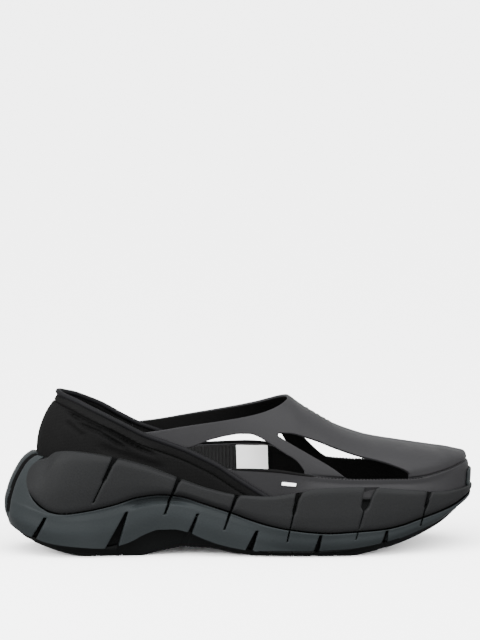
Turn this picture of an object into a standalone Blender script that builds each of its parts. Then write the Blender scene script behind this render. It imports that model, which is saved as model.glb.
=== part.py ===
"""Slip-on sneaker, right shoe: two-tier rubber sole, hollow caged upper, textile heel sleeve.

The shoe stands on z = 0 with its toe at +X, its lateral side at -Y and its length centred on x = 0.
Tables hold shares: columns called along are shares of LENGTH, measured from the back of the heel.
"""
import math
from collections import namedtuple

import bmesh
import bpy
import numpy as np

# Driving sizes, in metres
LENGTH = 0.311
BALL_WIDTH = 0.107
HEEL_STACK = 0.0695
SEAM_BELOW_STACK = 0.0125
INSTEP_RISE = 0.0437
COLLAR_RISE = 0.0486
CAGE_WALL = 0.0020
RIM_STEP = 0.0006
SLEEVE_WALL = 0.0020
BINDING_RADIUS = 0.0017
INSOLE_THICKNESS = 0.0040
INSOLE_CLEARANCE = 0.0006
TOE_TAB_WALL = 0.0016
TOE_TAB_WIDTH = 0.030
TOE_TAB_HEIGHT = 0.0105
TOE_TAB_DEPTH = 0.006
MEDIAL_WALL_RISE = 0.0070
GAP = 0.0003

# How far the upper stands in from the side of the sole, at the heel and at the ball
HEEL_MARGIN = 0.0082
BALL_MARGIN = 0.0056
# Where the heel's margin starts to change, and where the ball's is reached
MARGIN_FROM = 0.30
MARGIN_TO = 0.70
# How far the upper's wall tucks in from its seam down to the footbed
WALL_TUCK = 0.0030
WALL_CURVE = 1.5
# Depths of the cuts in the sole
SIDE_NOTCH_DEPTH = 0.0022
EDGE_NOTCH_DEPTH = 0.0045
TREAD_GROOVE_DEPTH = 0.0022
TREAD_GROOVE_WIDTH = 0.0030

# Round ends of a plan outline, as shares of its own length
HEEL_ROUND = 0.17
TOE_ROUND = 0.30
# Points around an outline, and points along a side-view cut
AROUND = 80
ALONG_CUT = 18
# Reach of a cutter past the shoe
CUTTER_REACH = 0.030
# Steps up the last in the search for the collar line
COLLAR_SEARCH = 220
# Height of the sloping collar line's thickness over that thickness square to it
COLLAR_SLOPE = 1.12

# Heights above the floor: the seam at the waist, the throat of the collar, the heel of the collar
SEAM_HEIGHT = HEEL_STACK - SEAM_BELOW_STACK
INSTEP_HEIGHT = SEAM_HEIGHT + INSTEP_RISE
HEEL_HEIGHT = SEAM_HEIGHT + COLLAR_RISE
SLEEVE_INNER = RIM_STEP + GAP
SLEEVE_OUTER = SLEEVE_INNER + SLEEVE_WALL

Height = namedtuple("Height", "along height")
Plan = namedtuple("Plan", "along centre half_width")
Level = namedtuple("Level", "name lower upper mix back front inset")
Notch = namedtuple("Notch", "top top_height top_width foot foot_height foot_width")
Back = namedtuple("Back", "height along")

# Plan of the sole: centre line and half width as shares of BALL_WIDTH, before the ends are rounded
SOLE_PLAN = (
    Plan(0.00, 0.000, 0.376), Plan(0.20, 0.000, 0.382), Plan(0.35, -0.018, 0.358),
    Plan(0.45, -0.020, 0.392), Plan(0.60, -0.014, 0.472), Plan(0.70, -0.008, 0.498),
    Plan(0.80, 0.010, 0.514), Plan(0.90, 0.040, 0.524), Plan(1.00, 0.070, 0.524),
)
# Underside of the tread, as shares of HEEL_STACK: flat under the heel and under the forefoot
TREAD = (
    Height(0.00, 0.225), Height(0.03, 0.175), Height(0.045, 0.140), Height(0.087, 0.072),
    Height(0.129, 0.022), Height(0.161, 0.0), Height(0.277, 0.0), Height(0.322, 0.043),
    Height(0.370, 0.079), Height(0.418, 0.072), Height(0.482, 0.017), Height(0.524, 0.0),
    Height(0.714, 0.0), Height(0.759, 0.032), Height(0.804, 0.076), Height(0.849, 0.135),
    Height(0.884, 0.191), Height(0.920, 0.259), Height(0.952, 0.338), Height(1.00, 0.430),
)
# Lower edge of the sole's side, as shares of HEEL_STACK
LOWER_EDGE = (
    Height(0.00, 0.280), Height(0.032, 0.208), Height(0.058, 0.173), Height(0.087, 0.136),
    Height(0.130, 0.112), Height(0.203, 0.092), Height(0.232, 0.115), Height(0.257, 0.151),
    Height(0.289, 0.223), Height(0.318, 0.262), Height(0.347, 0.262), Height(0.376, 0.236),
    Height(0.408, 0.176), Height(0.444, 0.119), Height(0.495, 0.072), Height(0.556, 0.046),
    Height(0.627, 0.045), Height(0.690, 0.058), Height(0.778, 0.112), Height(0.868, 0.219),
    Height(0.913, 0.288), Height(0.955, 0.382), Height(1.00, 0.455),
)
# Line between the two tiers of the sole, as shares of HEEL_STACK
TIER_LINE = (
    Height(0.00, 0.530), Height(0.05, 0.470), Height(0.085, 0.425), Height(0.115, 0.414),
    Height(0.160, 0.438), Height(0.225, 0.500), Height(0.275, 0.567), Height(0.320, 0.587),
    Height(0.360, 0.570), Height(0.410, 0.500), Height(0.463, 0.424), Height(0.505, 0.355),
    Height(0.547, 0.299), Height(0.590, 0.262), Height(0.640, 0.236), Height(0.670, 0.229),
    Height(0.720, 0.240), Height(0.790, 0.258), Height(0.830, 0.288), Height(0.860, 0.325),
    Height(0.916, 0.383), Height(0.950, 0.425), Height(0.975, 0.470), Height(1.00, 0.515),
)
# Round heel end of the upper tier, an arc that starts on the tier line
LOBE_ALONG = 0.113
LOBE_REACH = 0.070
LOBE_MIDDLE = 0.705
LOBE_RISE = 0.245
LOBE_TOP_ALONG = 0.083
# Top edge of the sole, as shares of HEEL_STACK
SOLE_TOP = (
    Height(0.00, 0.925), Height(0.058, 0.927), Height(0.084, 0.921), Height(0.106, 0.984),
    Height(0.129, 1.000), Height(0.167, 0.986), Height(0.215, 0.947), Height(0.273, 0.878),
    Height(0.354, 0.747), Height(0.418, 0.650), Height(0.482, 0.590), Height(0.540, 0.578),
    Height(0.598, 0.613), Height(0.650, 0.653), Height(0.733, 0.665), Height(0.804, 0.639),
    Height(0.887, 0.590), Height(0.932, 0.566), Height(1.00, 0.575),
)
# Footbed inside the sole, as shares of HEEL_STACK
FOOTBED = (
    Height(0.00, 0.547), Height(0.25, 0.540), Height(0.45, 0.450), Height(0.60, 0.381),
    Height(0.80, 0.381), Height(1.00, 0.475),
)
# Rings of the sole's side, from the floor up: each lies between two of the curves above
SOLE_LEVELS = (
    Level("tread", TREAD, TREAD, 0.0, 0.029, 0.972, 0.0095),
    Level("edge", LOWER_EDGE, LOWER_EDGE, 0.0, 0.008, 0.987, 0.0018),
    Level("bulge", LOWER_EDGE, TIER_LINE, 0.42, 0.000, 0.996, 0.0),
    Level("shoulder", LOWER_EDGE, TIER_LINE, 0.74, 0.001, 0.997, 0.0005),
    Level("scoop", LOWER_EDGE, TIER_LINE, 0.92, 0.002, 0.9965, 0.0024),
    Level("tier", TIER_LINE, TIER_LINE, 0.0, 0.003, 0.998, 0.0008),
    Level("face", TIER_LINE, SOLE_TOP, 0.40, 0.014, 1.000, 0.0),
    Level("cheek", TIER_LINE, SOLE_TOP, 0.88, 0.040, 0.999, 0.0006),
    Level("top", SOLE_TOP, SOLE_TOP, 0.0, 0.058, 0.994, 0.0026),
)
# Seam between the upper's rim and its cage, as shares of SEAM_HEIGHT
SEAM = (
    Height(0.00, 1.000), Height(0.480, 1.000), Height(0.553, 0.991), Height(0.611, 0.953),
    Height(0.665, 0.912), Height(0.714, 0.895), Height(0.804, 0.881), Height(0.849, 0.870),
    Height(0.878, 0.877), Height(0.910, 0.902), Height(0.939, 0.930), Height(0.971, 0.968),
    Height(1.00, 0.990),
)
# Ridge of the last, as shares of INSTEP_HEIGHT: the throat of the collar is at 0.600 along
RIDGE = (
    Height(0.00, 1.370), Height(0.225, 1.330), Height(0.354, 1.260), Height(0.482, 1.142),
    Height(0.547, 1.068), Height(0.601, 1.000), Height(0.627, 0.942), Height(0.662, 0.874),
    Height(0.704, 0.800), Height(0.736, 0.761), Height(0.772, 0.725), Height(0.842, 0.681),
    Height(0.900, 0.650), Height(0.977, 0.614), Height(1.00, 0.606),
)
# Fullness of the last's sections: 2 is an ellipse, more is squarer
FULLNESS = (
    Height(0.00, 2.60), Height(0.30, 2.60), Height(0.45, 2.30), Height(0.60, 2.00),
    Height(0.75, 2.10), Height(0.90, 2.60), Height(1.00, 2.90),
)
# Back of the heel sleeve: height as a share of HEEL_HEIGHT, then how far along that is
HEEL_BACK = (
    Back(0.300, 0.0730), Back(0.540, 0.0675), Back(0.644, 0.0666), Back(0.690, 0.0678),
    Back(0.748, 0.0717), Back(0.805, 0.0780), Back(0.862, 0.0868), Back(0.900, 0.0949),
    Back(0.9375, 0.1039), Back(0.966, 0.1100), Back(1.000, 0.1158), Back(1.136, 0.1450),
    Back(1.340, 0.1930),
)
TOE_FRONT = 0.9870
TOE_CORNER = 0.0109

# Cuts in the upper, seen from the side; heights are shares of INSTEP_HEIGHT
COLLAR_EDGE = (
    Height(0.200, 0.755), Height(0.287, 0.800), Height(0.322, 0.814), Height(0.392, 0.849),
    Height(0.447, 0.874), Height(0.511, 0.908), Height(0.543, 0.931), Height(0.569, 0.958),
    Height(0.588, 0.983), Height(0.6005, 1.003), Height(0.608, 1.040),
)
REAR_OPENING = (
    Height(0.200, 0.660), Height(0.322, 0.665), Height(0.383, 0.704), Height(0.428, 0.755),
    Height(0.463, 0.782), Height(0.489, 0.794), Height(0.508, 0.794), Height(0.526, 0.776),
    Height(0.543, 0.745), Height(0.579, 0.673), Height(0.603, 0.626), Height(0.616, 0.576),
    Height(0.624, 0.530),
)
FRONT_OPENING_STRUT = (
    Height(0.564, 0.790), Height(0.569, 0.779), Height(0.588, 0.742), Height(0.635, 0.658),
    Height(0.676, 0.583), Height(0.712, 0.500),
)
FRONT_OPENING_TOP = (
    Height(0.564, 0.794), Height(0.571, 0.800), Height(0.595, 0.796), Height(0.621, 0.776),
    Height(0.650, 0.747), Height(0.688, 0.701), Height(0.736, 0.651), Height(0.788, 0.609),
    Height(0.820, 0.570), Height(0.836, 0.543), Height(0.844, 0.517), Height(0.846, 0.480),
)
# Where the medial wall stands higher than the lateral one, as shares of MEDIAL_WALL_RISE
MEDIAL_RISE = (
    Height(0.38, 1.0), Height(0.52, 1.0), Height(0.60, 0.75), Height(0.72, 0.10), Height(0.76, 0.0),
)
# Collar line of the sleeve, top of its binding, as shares of HEEL_HEIGHT
SLEEVE_TOP = (
    Height(0.000, 1.070), Height(0.116, 1.000), Height(0.135, 0.980), Height(0.156, 0.957),
    Height(0.177, 0.928), Height(0.206, 0.890), Height(0.257, 0.814), Height(0.287, 0.770),
    Height(0.322, 0.732), Height(0.380, 0.668), Height(0.410, 0.627), Height(0.444, 0.577),
    Height(0.463, 0.540), Height(0.495, 0.479), Height(0.543, 0.393), Height(0.560, 0.360),
)
TAIL_END = 0.545
# Past the tail the cup closes in on the upper's rim, as shares of LENGTH
TAIL_ROOM = 0.01
TAIL_BLEND = 0.07

# Slots of the upper tier, some of which run on into the lower tier
SIDE_NOTCHES = (
    Notch(0.228, 0.975, 0.0090, 0.180, 0.525, 0.0035),
    Notch(0.361, 0.770, 0.0090, 0.329, 0.405, 0.0050),
    Notch(0.482, 0.630, 0.0080, 0.453, 0.262, 0.0040),
    Notch(0.607, 0.650, 0.0090, 0.583, 0.150, 0.0050),
    Notch(0.758, 0.700, 0.0250, 0.726, 0.170, 0.0050),
    Notch(0.888, 0.620, 0.0090, 0.867, 0.265, 0.0045),
)
# Wedges of the lower tier, widest at the floor
EDGE_NOTCHES = (
    Notch(0.081, 0.375, 0.0060, 0.055, 0.150, 0.0120),
    Notch(0.250, 0.435, 0.0060, 0.214, 0.050, 0.0300),
    Notch(0.398, 0.410, 0.0050, 0.379, 0.190, 0.0110),
    Notch(0.521, 0.255, 0.0060, 0.501, 0.030, 0.0170),
    Notch(0.653, 0.216, 0.0060, 0.642, 0.020, 0.0130),
    Notch(0.793, 0.245, 0.0060, 0.786, 0.090, 0.0130),
)
# Grooves across the tread
TREAD_GROOVES = (0.19, 0.24, 0.55, 0.595, 0.64, 0.685)


def follow(rows):
    """A smooth curve through a table's rows that never overshoots them."""
    xs = np.array([row[0] for row in rows], dtype=float)
    ys = np.array([row[1] for row in rows], dtype=float)
    steps = np.diff(xs)
    slopes = np.diff(ys) / steps
    tangents = np.zeros_like(xs)
    tangents[0], tangents[-1] = slopes[0], slopes[-1]
    for i in range(1, len(xs) - 1):
        if slopes[i - 1] * slopes[i] > 0.0:
            before = 2.0 * steps[i] + steps[i - 1]
            after = steps[i] + 2.0 * steps[i - 1]
            tangents[i] = (before + after) / (before / slopes[i - 1] + after / slopes[i])

    def value(x):
        x = np.clip(np.asarray(x, dtype=float), xs[0], xs[-1])
        i = np.clip(np.searchsorted(xs, x) - 1, 0, len(xs) - 2)
        t = (x - xs[i]) / steps[i]
        rise = 3.0 * t ** 2 - 2.0 * t ** 3
        lead = (t ** 3 - 2.0 * t ** 2 + t) * steps[i]
        trail = (t ** 3 - t ** 2) * steps[i]
        return ys[i] * (1.0 - rise) + ys[i + 1] * rise + lead * tangents[i] + trail * tangents[i + 1]

    return value


sole_centre = follow([(row.along, row.centre) for row in SOLE_PLAN])
sole_half = follow([(row.along, row.half_width) for row in SOLE_PLAN])
seam_share = follow(SEAM)
ridge_share = follow(RIDGE)
footbed_share = follow(FOOTBED)
fullness = follow(FULLNESS)
heel_back_share = follow(HEEL_BACK)


def place(along):
    """World x of a share of the length."""
    return (along - 0.5) * LENGTH


def outline(theta, back, front, half_trim):
    """Plan points of an outline between two shares of the length, theta running round it."""
    own = 0.5 * (1.0 - np.cos(theta))
    along = back + (front - back) * own
    heel = 1.0 - (1.0 - np.clip(own / HEEL_ROUND, 0.0, 1.0)) ** 2
    toe = 1.0 - (1.0 - np.clip((1.0 - own) / TOE_ROUND, 0.0, 1.0)) ** 2
    rounding = np.sqrt(np.maximum(heel * toe, 0.0)) * np.where(np.sin(theta) < 0.0, 1.0, -1.0)
    half = sole_half(along) * BALL_WIDTH - half_trim
    across = sole_centre(along) * BALL_WIDTH + half * rounding
    return along, across


def around(count=AROUND):
    """Angles round an outline: the lateral side first, from the heel to the toe and back."""
    return np.arange(count) * 2.0 * math.pi / count


def sole_ring(level):
    """One ring of points round the sole at a level of its side."""
    along, across = outline(around(), level.back, level.front, level.inset)
    low = follow(level.lower)(along)
    high = follow(level.upper)(along)
    height = (low + (high - low) * level.mix) * HEEL_STACK
    return np.stack([place(along), across, height], axis=-1)


def last_point(theta, level):
    """A point of the last: level 0 to 1 climbs its wall, 1 to 2 goes over to the ridge."""
    wall = np.clip(level, 0.0, 1.0)
    dome = np.clip(level - 1.0, 0.0, 1.0) * 0.5 * math.pi
    top = ridge_share(0.0) * INSTEP_HEIGHT
    heel_power = 2.0 / fullness(0.0)
    heel_footbed = footbed_share(0.0) * HEEL_STACK
    heel_z = heel_footbed + (SEAM_HEIGHT - heel_footbed) * wall
    heel_z = heel_z + (top - SEAM_HEIGHT) * np.sin(dome) ** heel_power
    back = heel_back_share(heel_z / HEEL_HEIGHT) + SLEEVE_OUTER / LENGTH
    toe_power = 2.0 / fullness(1.0)
    tuck = WALL_TUCK * (1.0 - wall) ** WALL_CURVE
    front = TOE_FRONT - TOE_CORNER * (1.0 - np.cos(dome) ** toe_power) - tuck / LENGTH
    own = 0.5 * (1.0 - np.cos(theta))
    along = back + (front - back) * own
    forward = np.clip((along - MARGIN_FROM) / (MARGIN_TO - MARGIN_FROM), 0.0, 1.0)
    margin = HEEL_MARGIN + (BALL_MARGIN - HEEL_MARGIN) * forward
    along, across = outline(theta, back, front, margin + tuck)
    power = 2.0 / fullness(along)
    centre = sole_centre(along) * BALL_WIDTH
    across = centre + (across - centre) * np.cos(dome) ** power
    bed = footbed_share(along) * HEEL_STACK
    seam = seam_share(along) * SEAM_HEIGHT
    ridge = ridge_share(along) * INSTEP_HEIGHT
    height = bed + (seam - bed) * wall + (ridge - seam) * np.sin(dome) ** power
    return np.stack([place(along), across, height], axis=-1)


def last_ring(level, offset=0.0, count=AROUND):
    """A ring of the last, moved out of it by an offset, which may differ from point to point."""
    theta = around(count)
    low, high = max(level - NUDGE, 0.0), min(level + NUDGE, 2.0 - NUDGE)
    along_ring = last_point(theta + NUDGE, level) - last_point(theta - NUDGE, level)
    up_wall = last_point(theta, high) - last_point(theta, low)
    normal = np.cross(along_ring, up_wall)
    normal /= np.linalg.norm(normal, axis=-1, keepdims=True)
    if level == 0.0:
        normal[:, 2] = 0.0
        normal /= np.linalg.norm(normal, axis=-1, keepdims=True)
    return last_point(theta, level) + normal * np.broadcast_to(offset, theta.shape)[:, None]


# Step for measuring the last's slope
NUDGE = 0.004
# Levels of the last that the upper, the sleeve and the cup share, so that their facets match
WALL_LEVELS = (0.0, 0.5, 1.0)
DOME_LEVELS = (1.0, 1.12, 1.26, 1.42, 1.58, 1.75, 1.92)
SEAM_LEVEL = 1.012


def skin(name, rings, inside=None):
    """A closed body from rings, each end closed across; with inside rings it is a hollow shell."""
    mesh = bpy.data.meshes.new(name)
    bm = bmesh.new()
    rows = [[bm.verts.new(point) for point in ring] for ring in rings]
    count = len(rows[0])
    half = count // 2

    def wrap(below, above, flip=False):
        for i in range(count):
            j = (i + 1) % count
            face = (below[i], below[j], above[j], above[i])
            bm.faces.new(face[::-1] if flip else face)

    def close(row, flip=False):
        for i in range(half):
            corners = [row[i], row[i + 1], row[count - i - 1], row[(count - i) % count]]
            face = [vert for k, vert in enumerate(corners) if vert not in corners[:k]]
            bm.faces.new(face[::-1] if flip else face)

    for below, above in zip(rows, rows[1:]):
        wrap(below, above)
    close(rows[-1])
    if inside is None:
        close(rows[0], flip=True)
    else:
        inner = [[bm.verts.new(point) for point in ring] for ring in inside]
        for below, above in zip(inner, inner[1:]):
            wrap(below, above, flip=True)
        close(inner[-1], flip=True)
        wrap(rows[0], inner[0], flip=True)
    bmesh.ops.triangulate(bm, faces=bm.faces)
    bmesh.ops.recalc_face_normals(bm, faces=bm.faces)
    bm.to_mesh(mesh)
    bm.free()
    return mesh


def add_object(name, mesh):
    item = bpy.data.objects.new(name, mesh)
    bpy.context.scene.collection.objects.link(item)
    return item


def hide_cutter(item):
    item.hide_render = True
    item.display_type = "WIRE"
    return item


def prisms(name, plates):
    """Flat side-view outlines, each drawn out along y between two depths, as one cutter."""
    mesh = bpy.data.meshes.new(name)
    bm = bmesh.new()
    for points, y_from, y_to in plates:
        near = [bm.verts.new((x, y_from, z)) for x, z in points]
        far = [bm.verts.new((x, y_to, z)) for x, z in points]
        bm.faces.new(near)
        bm.faces.new(far[::-1])
        for i in range(len(points)):
            j = (i + 1) % len(points)
            bm.faces.new((near[i], far[i], far[j], near[j]))
    bmesh.ops.recalc_face_normals(bm, faces=bm.faces)
    bm.to_mesh(mesh)
    bm.free()
    return hide_cutter(add_object(name, mesh))


def combine(item, cutter, how="DIFFERENCE"):
    cut = item.modifiers.new(cutter.name, "BOOLEAN")
    cut.operation = how
    cut.solver = "EXACT"
    cut.object = cutter
    return item


def paint(item, colour, roughness):
    material = bpy.data.materials.new(item.name)
    material.use_nodes = True
    surface = material.node_tree.nodes["Principled BSDF"]
    surface.inputs["Base Color"].default_value = (*colour, 1.0)
    surface.inputs["Roughness"].default_value = roughness
    surface.inputs["Metallic"].default_value = 0.0
    item.data.materials.append(material)
    return item


def side_line(rows, unit, start=None, end=None, lift=0.0, count=ALONG_CUT):
    """World x and z along a side-view table."""
    start = rows[0].along if start is None else start
    end = rows[-1].along if end is None else end
    along = np.linspace(start, end, count)
    return [(place(a), z * unit + lift) for a, z in zip(along, follow(rows)(along))]


def tier_outline(lowered=0.0):
    """Side-view region of the upper tier; lowered grows it down and back for the lower tier."""
    middle = LOBE_MIDDLE * HEEL_STACK
    reach = LOBE_REACH * LENGTH + lowered
    drop = middle - follow(TIER_LINE)(LOBE_ALONG) * HEEL_STACK + lowered
    rise = LOBE_RISE * HEEL_STACK + lowered
    ceiling = INSTEP_HEIGHT + CUTTER_REACH
    points = []
    top_angle = math.acos((LOBE_ALONG - LOBE_TOP_ALONG) * LENGTH / reach)
    for angle in np.linspace(-0.5 * math.pi, top_angle, ALONG_CUT):
        height = middle + math.sin(angle) * (rise if angle > 0.0 else drop)
        points.append((place(LOBE_ALONG) - math.cos(angle) * reach, height))
    last_x = points[-1][0]
    line = side_line(TIER_LINE, HEEL_STACK, LOBE_ALONG, 1.0, -lowered, 2 * ALONG_CUT)
    end = (line[-1][0] + CUTTER_REACH, line[-1][1])
    return [(end[0], ceiling), end, *line[:0:-1], *points, (last_x, ceiling)]


def notch_plates(notches, depth):
    """Cutters for a row of notches on both sides of the sole."""
    plates = []
    for notch in notches:
        top, foot = place(notch.top), place(notch.foot)
        half_top = 0.5 * notch.top_width * LENGTH
        half_foot = 0.5 * notch.foot_width * LENGTH
        z_top, z_foot = notch.top_height * HEEL_STACK, notch.foot_height * HEEL_STACK
        points = [(foot - half_foot, z_foot), (foot + half_foot, z_foot),
                  (top + half_top, z_top), (top - half_top, z_top)]
        along = 0.5 * (notch.top + notch.foot)
        theta = math.acos(1.0 - 2.0 * along)
        for angle, outward in ((theta, -1.0), (-theta, 1.0)):
            edge = float(outline(np.array([angle]), 0.0, 1.0, 0.0)[1][0])
            near, far = sorted((edge - outward * depth, edge + outward * CUTTER_REACH))
            plates.append((points, near, far))
    return plates


def sole_block(name):
    return add_object(name, skin(name, [sole_ring(level) for level in SOLE_LEVELS]))


def cup_cutter():
    """The space that the upper and the sleeve fill inside the sole."""
    along = outline(around(), 0.0, 1.0, 0.0)[0]
    forward = np.clip((along - TAIL_END - TAIL_ROOM) / TAIL_BLEND, 0.0, 1.0)
    clear = (SLEEVE_OUTER + GAP) + (RIM_STEP - SLEEVE_OUTER) * forward
    rings = [last_ring(level, clear) for level in (*WALL_LEVELS[:-1], *DOME_LEVELS)]
    return hide_cutter(add_object("cup_cutter", skin("cup_cutter", rings)))


def make_midsole(cup):
    item = sole_block("midsole")
    combine(item, cup)
    reach = BALL_WIDTH
    combine(item, prisms("upper_tier", [(tier_outline(), -reach, reach)]), "INTERSECT")
    combine(item, prisms("side_slots", notch_plates(SIDE_NOTCHES, SIDE_NOTCH_DEPTH)))
    return paint(item, (0.040, 0.041, 0.043), 0.6)


def make_outsole(cup):
    item = sole_block("outsole")
    combine(item, cup)
    reach = BALL_WIDTH
    combine(item, prisms("upper_tier_room", [(tier_outline(GAP), -reach, reach)]))
    combine(item, prisms("side_slots_below", notch_plates(SIDE_NOTCHES, SIDE_NOTCH_DEPTH)))
    combine(item, prisms("edge_wedges", notch_plates(EDGE_NOTCHES, EDGE_NOTCH_DEPTH)))
    half = 0.5 * TREAD_GROOVE_WIDTH
    grooves = []
    for along in TREAD_GROOVES:
        x = place(along)
        points = [(x - half, -TREAD_GROOVE_DEPTH), (x + half, -TREAD_GROOVE_DEPTH),
                  (x + half, TREAD_GROOVE_DEPTH), (x - half, TREAD_GROOVE_DEPTH)]
        grooves.append((points, -reach, reach))
    combine(item, prisms("tread_grooves", grooves))
    return paint(item, (0.030, 0.036, 0.039), 0.5)


def opening_plates():
    """Side-view cuts of the upper: collar, and a rear and a front opening on each side."""
    ceiling = RIDGE[0].height * INSTEP_HEIGHT + CUTTER_REACH
    behind = place(0.0) - CUTTER_REACH
    reach = BALL_WIDTH
    collar = side_line(COLLAR_EDGE, INSTEP_HEIGHT)
    counter = SEAM_HEIGHT
    plates = [([(behind, counter), (collar[0][0], counter), *collar,
                (collar[-1][0], ceiling), (behind, ceiling)], -reach, reach)]
    for side, extra in ((-1.0, 0.0), (1.0, MEDIAL_WALL_RISE)):
        y_from, y_to = sorted((0.0, side * reach))
        plates.append((opening(REAR_OPENING, None, extra), y_from, y_to))
        plates.append((opening(FRONT_OPENING_TOP, FRONT_OPENING_STRUT, extra), y_from, y_to))
    return plates


def opening(top_rows, strut_rows, extra):
    """Side-view outline of an opening, from the rim or the strut below it up to its top edge."""
    along = np.linspace(top_rows[0].along, top_rows[-1].along, 2 * ALONG_CUT)
    top = follow(top_rows)(along) * INSTEP_HEIGHT
    foot = seam_share(along) * SEAM_HEIGHT + follow(MEDIAL_RISE)(along) * extra
    if strut_rows:
        strut = follow(strut_rows)(along) * INSTEP_HEIGHT
        foot = np.maximum(foot, np.where(along < strut_rows[-1].along, strut, 0.0))
    held = top - foot > GAP
    upper_edge = list(zip(place(along[held]), top[held]))
    lower_edge = list(zip(place(along[held]), foot[held]))
    return [*upper_edge, *lower_edge[::-1]]


def make_upper():
    """Hollow shell on the last: rim, toe box, vamp, rear arms and a strut on each side."""
    lift = np.array([0.0, 0.0, GAP])
    outer = [last_ring(level, RIM_STEP) for level in WALL_LEVELS]
    outer += [last_ring(level) for level in (SEAM_LEVEL, *DOME_LEVELS[1:])]
    inner = [last_ring(level, -CAGE_WALL) for level in (*WALL_LEVELS, *DOME_LEVELS[1:])]
    outer[0] = outer[0] + lift
    inner[0] = inner[0] + lift
    item = add_object("upper", skin("upper", outer, inner))
    for number, plate in enumerate(opening_plates()):
        combine(item, prisms("upper_opening_%d" % number, [plate]))
    return paint(item, (0.066, 0.066, 0.069), 0.55)


def make_sleeve():
    lift = np.array([0.0, 0.0, GAP])
    levels = (*WALL_LEVELS, *DOME_LEVELS[1:])
    outer = [last_ring(level, SLEEVE_OUTER) for level in levels]
    inner = [last_ring(level, SLEEVE_INNER) for level in levels]
    outer[0] = outer[0] + lift
    inner[0] = inner[0] + lift
    item = add_object("heel_sleeve", skin("heel_sleeve", outer, inner))
    below = -(2.0 * BINDING_RADIUS + GAP) * COLLAR_SLOPE
    line = side_line(SLEEVE_TOP, HEEL_HEIGHT, 0.0, TAIL_END, below, 2 * ALONG_CUT)
    line[0] = (line[0][0] - CUTTER_REACH, line[0][1])
    ceiling = RIDGE[0].height * INSTEP_HEIGHT + CUTTER_REACH
    end = line[-1][0]
    ahead = place(1.0) + CUTTER_REACH
    points = [*line, (end, 0.0), (ahead, 0.0), (ahead, ceiling), (line[0][0], ceiling)]
    combine(item, prisms("sleeve_mouth", [(points, -BALL_WIDTH, BALL_WIDTH)]))
    return paint(item, (0.014, 0.014, 0.015), 0.85)


def collar_path():
    """Points along the top edge of the sleeve, from the lateral tail round the heel."""
    line = follow(SLEEVE_TOP)
    sole_top = follow(SOLE_TOP)
    middle = SLEEVE_INNER + BINDING_RADIUS
    levels = np.linspace(0.0, DOME_LEVELS[-1], COLLAR_SEARCH)
    theta = around()
    rings = np.array([last_ring(level, middle, len(theta)) for level in levels])
    path = []
    for i in range(len(theta)):
        column = rings[:, i]
        along = column[:, 0] / LENGTH + 0.5
        aim = line(along) * HEEL_HEIGHT - BINDING_RADIUS * COLLAR_SLOPE
        over = np.nonzero((column[:, 2] - aim)[:-1] * (column[:, 2] - aim)[1:] <= 0.0)[0]
        k = over[0] if len(over) else 0
        clear = aim[k] - BINDING_RADIUS - GAP > sole_top(along[k]) * HEEL_STACK
        if len(over) and clear:
            before, after = column[k, 2] - aim[k], column[k + 1, 2] - aim[k + 1]
            share = before / (before - after)
            point = column[k] + (column[k + 1] - column[k]) * share
            path.append(((theta[i] + math.pi) % (2.0 * math.pi), point))
    return [point for _, point in sorted(path, key=lambda pair: pair[0])]


def make_binding():
    curve = bpy.data.curves.new("collar_binding", "CURVE")
    curve.dimensions = "3D"
    curve.bevel_depth = BINDING_RADIUS
    curve.bevel_resolution = 2
    curve.use_fill_caps = True
    path = collar_path()
    spline = curve.splines.new("POLY")
    spline.points.add(len(path) - 1)
    for point, place_at in zip(spline.points, path):
        point.co = (*place_at, 1.0)
    item = add_object("collar_binding", curve)
    return paint(item, (0.038, 0.038, 0.042), 0.7)


def make_insole():
    bed = last_ring(0.0, -CAGE_WALL - INSOLE_CLEARANCE)
    low = bed + np.array([0.0, 0.0, GAP])
    high = low + np.array([0.0, 0.0, INSOLE_THICKNESS])
    return paint(add_object("insole", skin("insole", [low, high])), (0.012, 0.012, 0.013), 0.9)


def make_toe_tab():
    """Rubber tab that wraps up over the rim at the tip of the toe."""
    levels = (0.0, 0.3, 0.5, 0.7, 0.85, 1.0)
    outer = [last_ring(level, RIM_STEP + GAP + TOE_TAB_WALL) for level in levels]
    inner = [last_ring(level, RIM_STEP + GAP) for level in levels]
    item = add_object("toe_tab", skin("toe_tab", outer, inner))
    foot = float(follow(SOLE_TOP)(1.0)) * HEEL_STACK + GAP
    head = foot + TOE_TAB_HEIGHT
    x = place(TOE_FRONT) - TOE_TAB_DEPTH
    middle = float(sole_centre(1.0)) * BALL_WIDTH
    ahead = place(1.0) + CUTTER_REACH
    keep = [(x, foot), (ahead, foot), (ahead, head), (x, head)]
    half = 0.5 * TOE_TAB_WIDTH
    combine(item, prisms("toe_tab_keep", [(keep, middle - half, middle + half)]), "INTERSECT")
    return paint(item, (0.030, 0.036, 0.039), 0.5)


def main():
    for item in list(bpy.data.objects):
        bpy.data.objects.remove(item, do_unlink=True)
    cup = cup_cutter()
    make_outsole(cup)
    make_midsole(cup)
    make_upper()
    make_sleeve()
    make_binding()
    make_insole()
    make_toe_tab()


main()
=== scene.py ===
"""Looks of a slip-on sneaker, right shoe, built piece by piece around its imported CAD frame.

The shoe's form laws, its last and the side of its sole, are those of the CAD source, at a finer step.
Tables hold shares: columns called along are shares of LENGTH, measured from the back of the heel.
"""
import math
from collections import namedtuple

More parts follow.
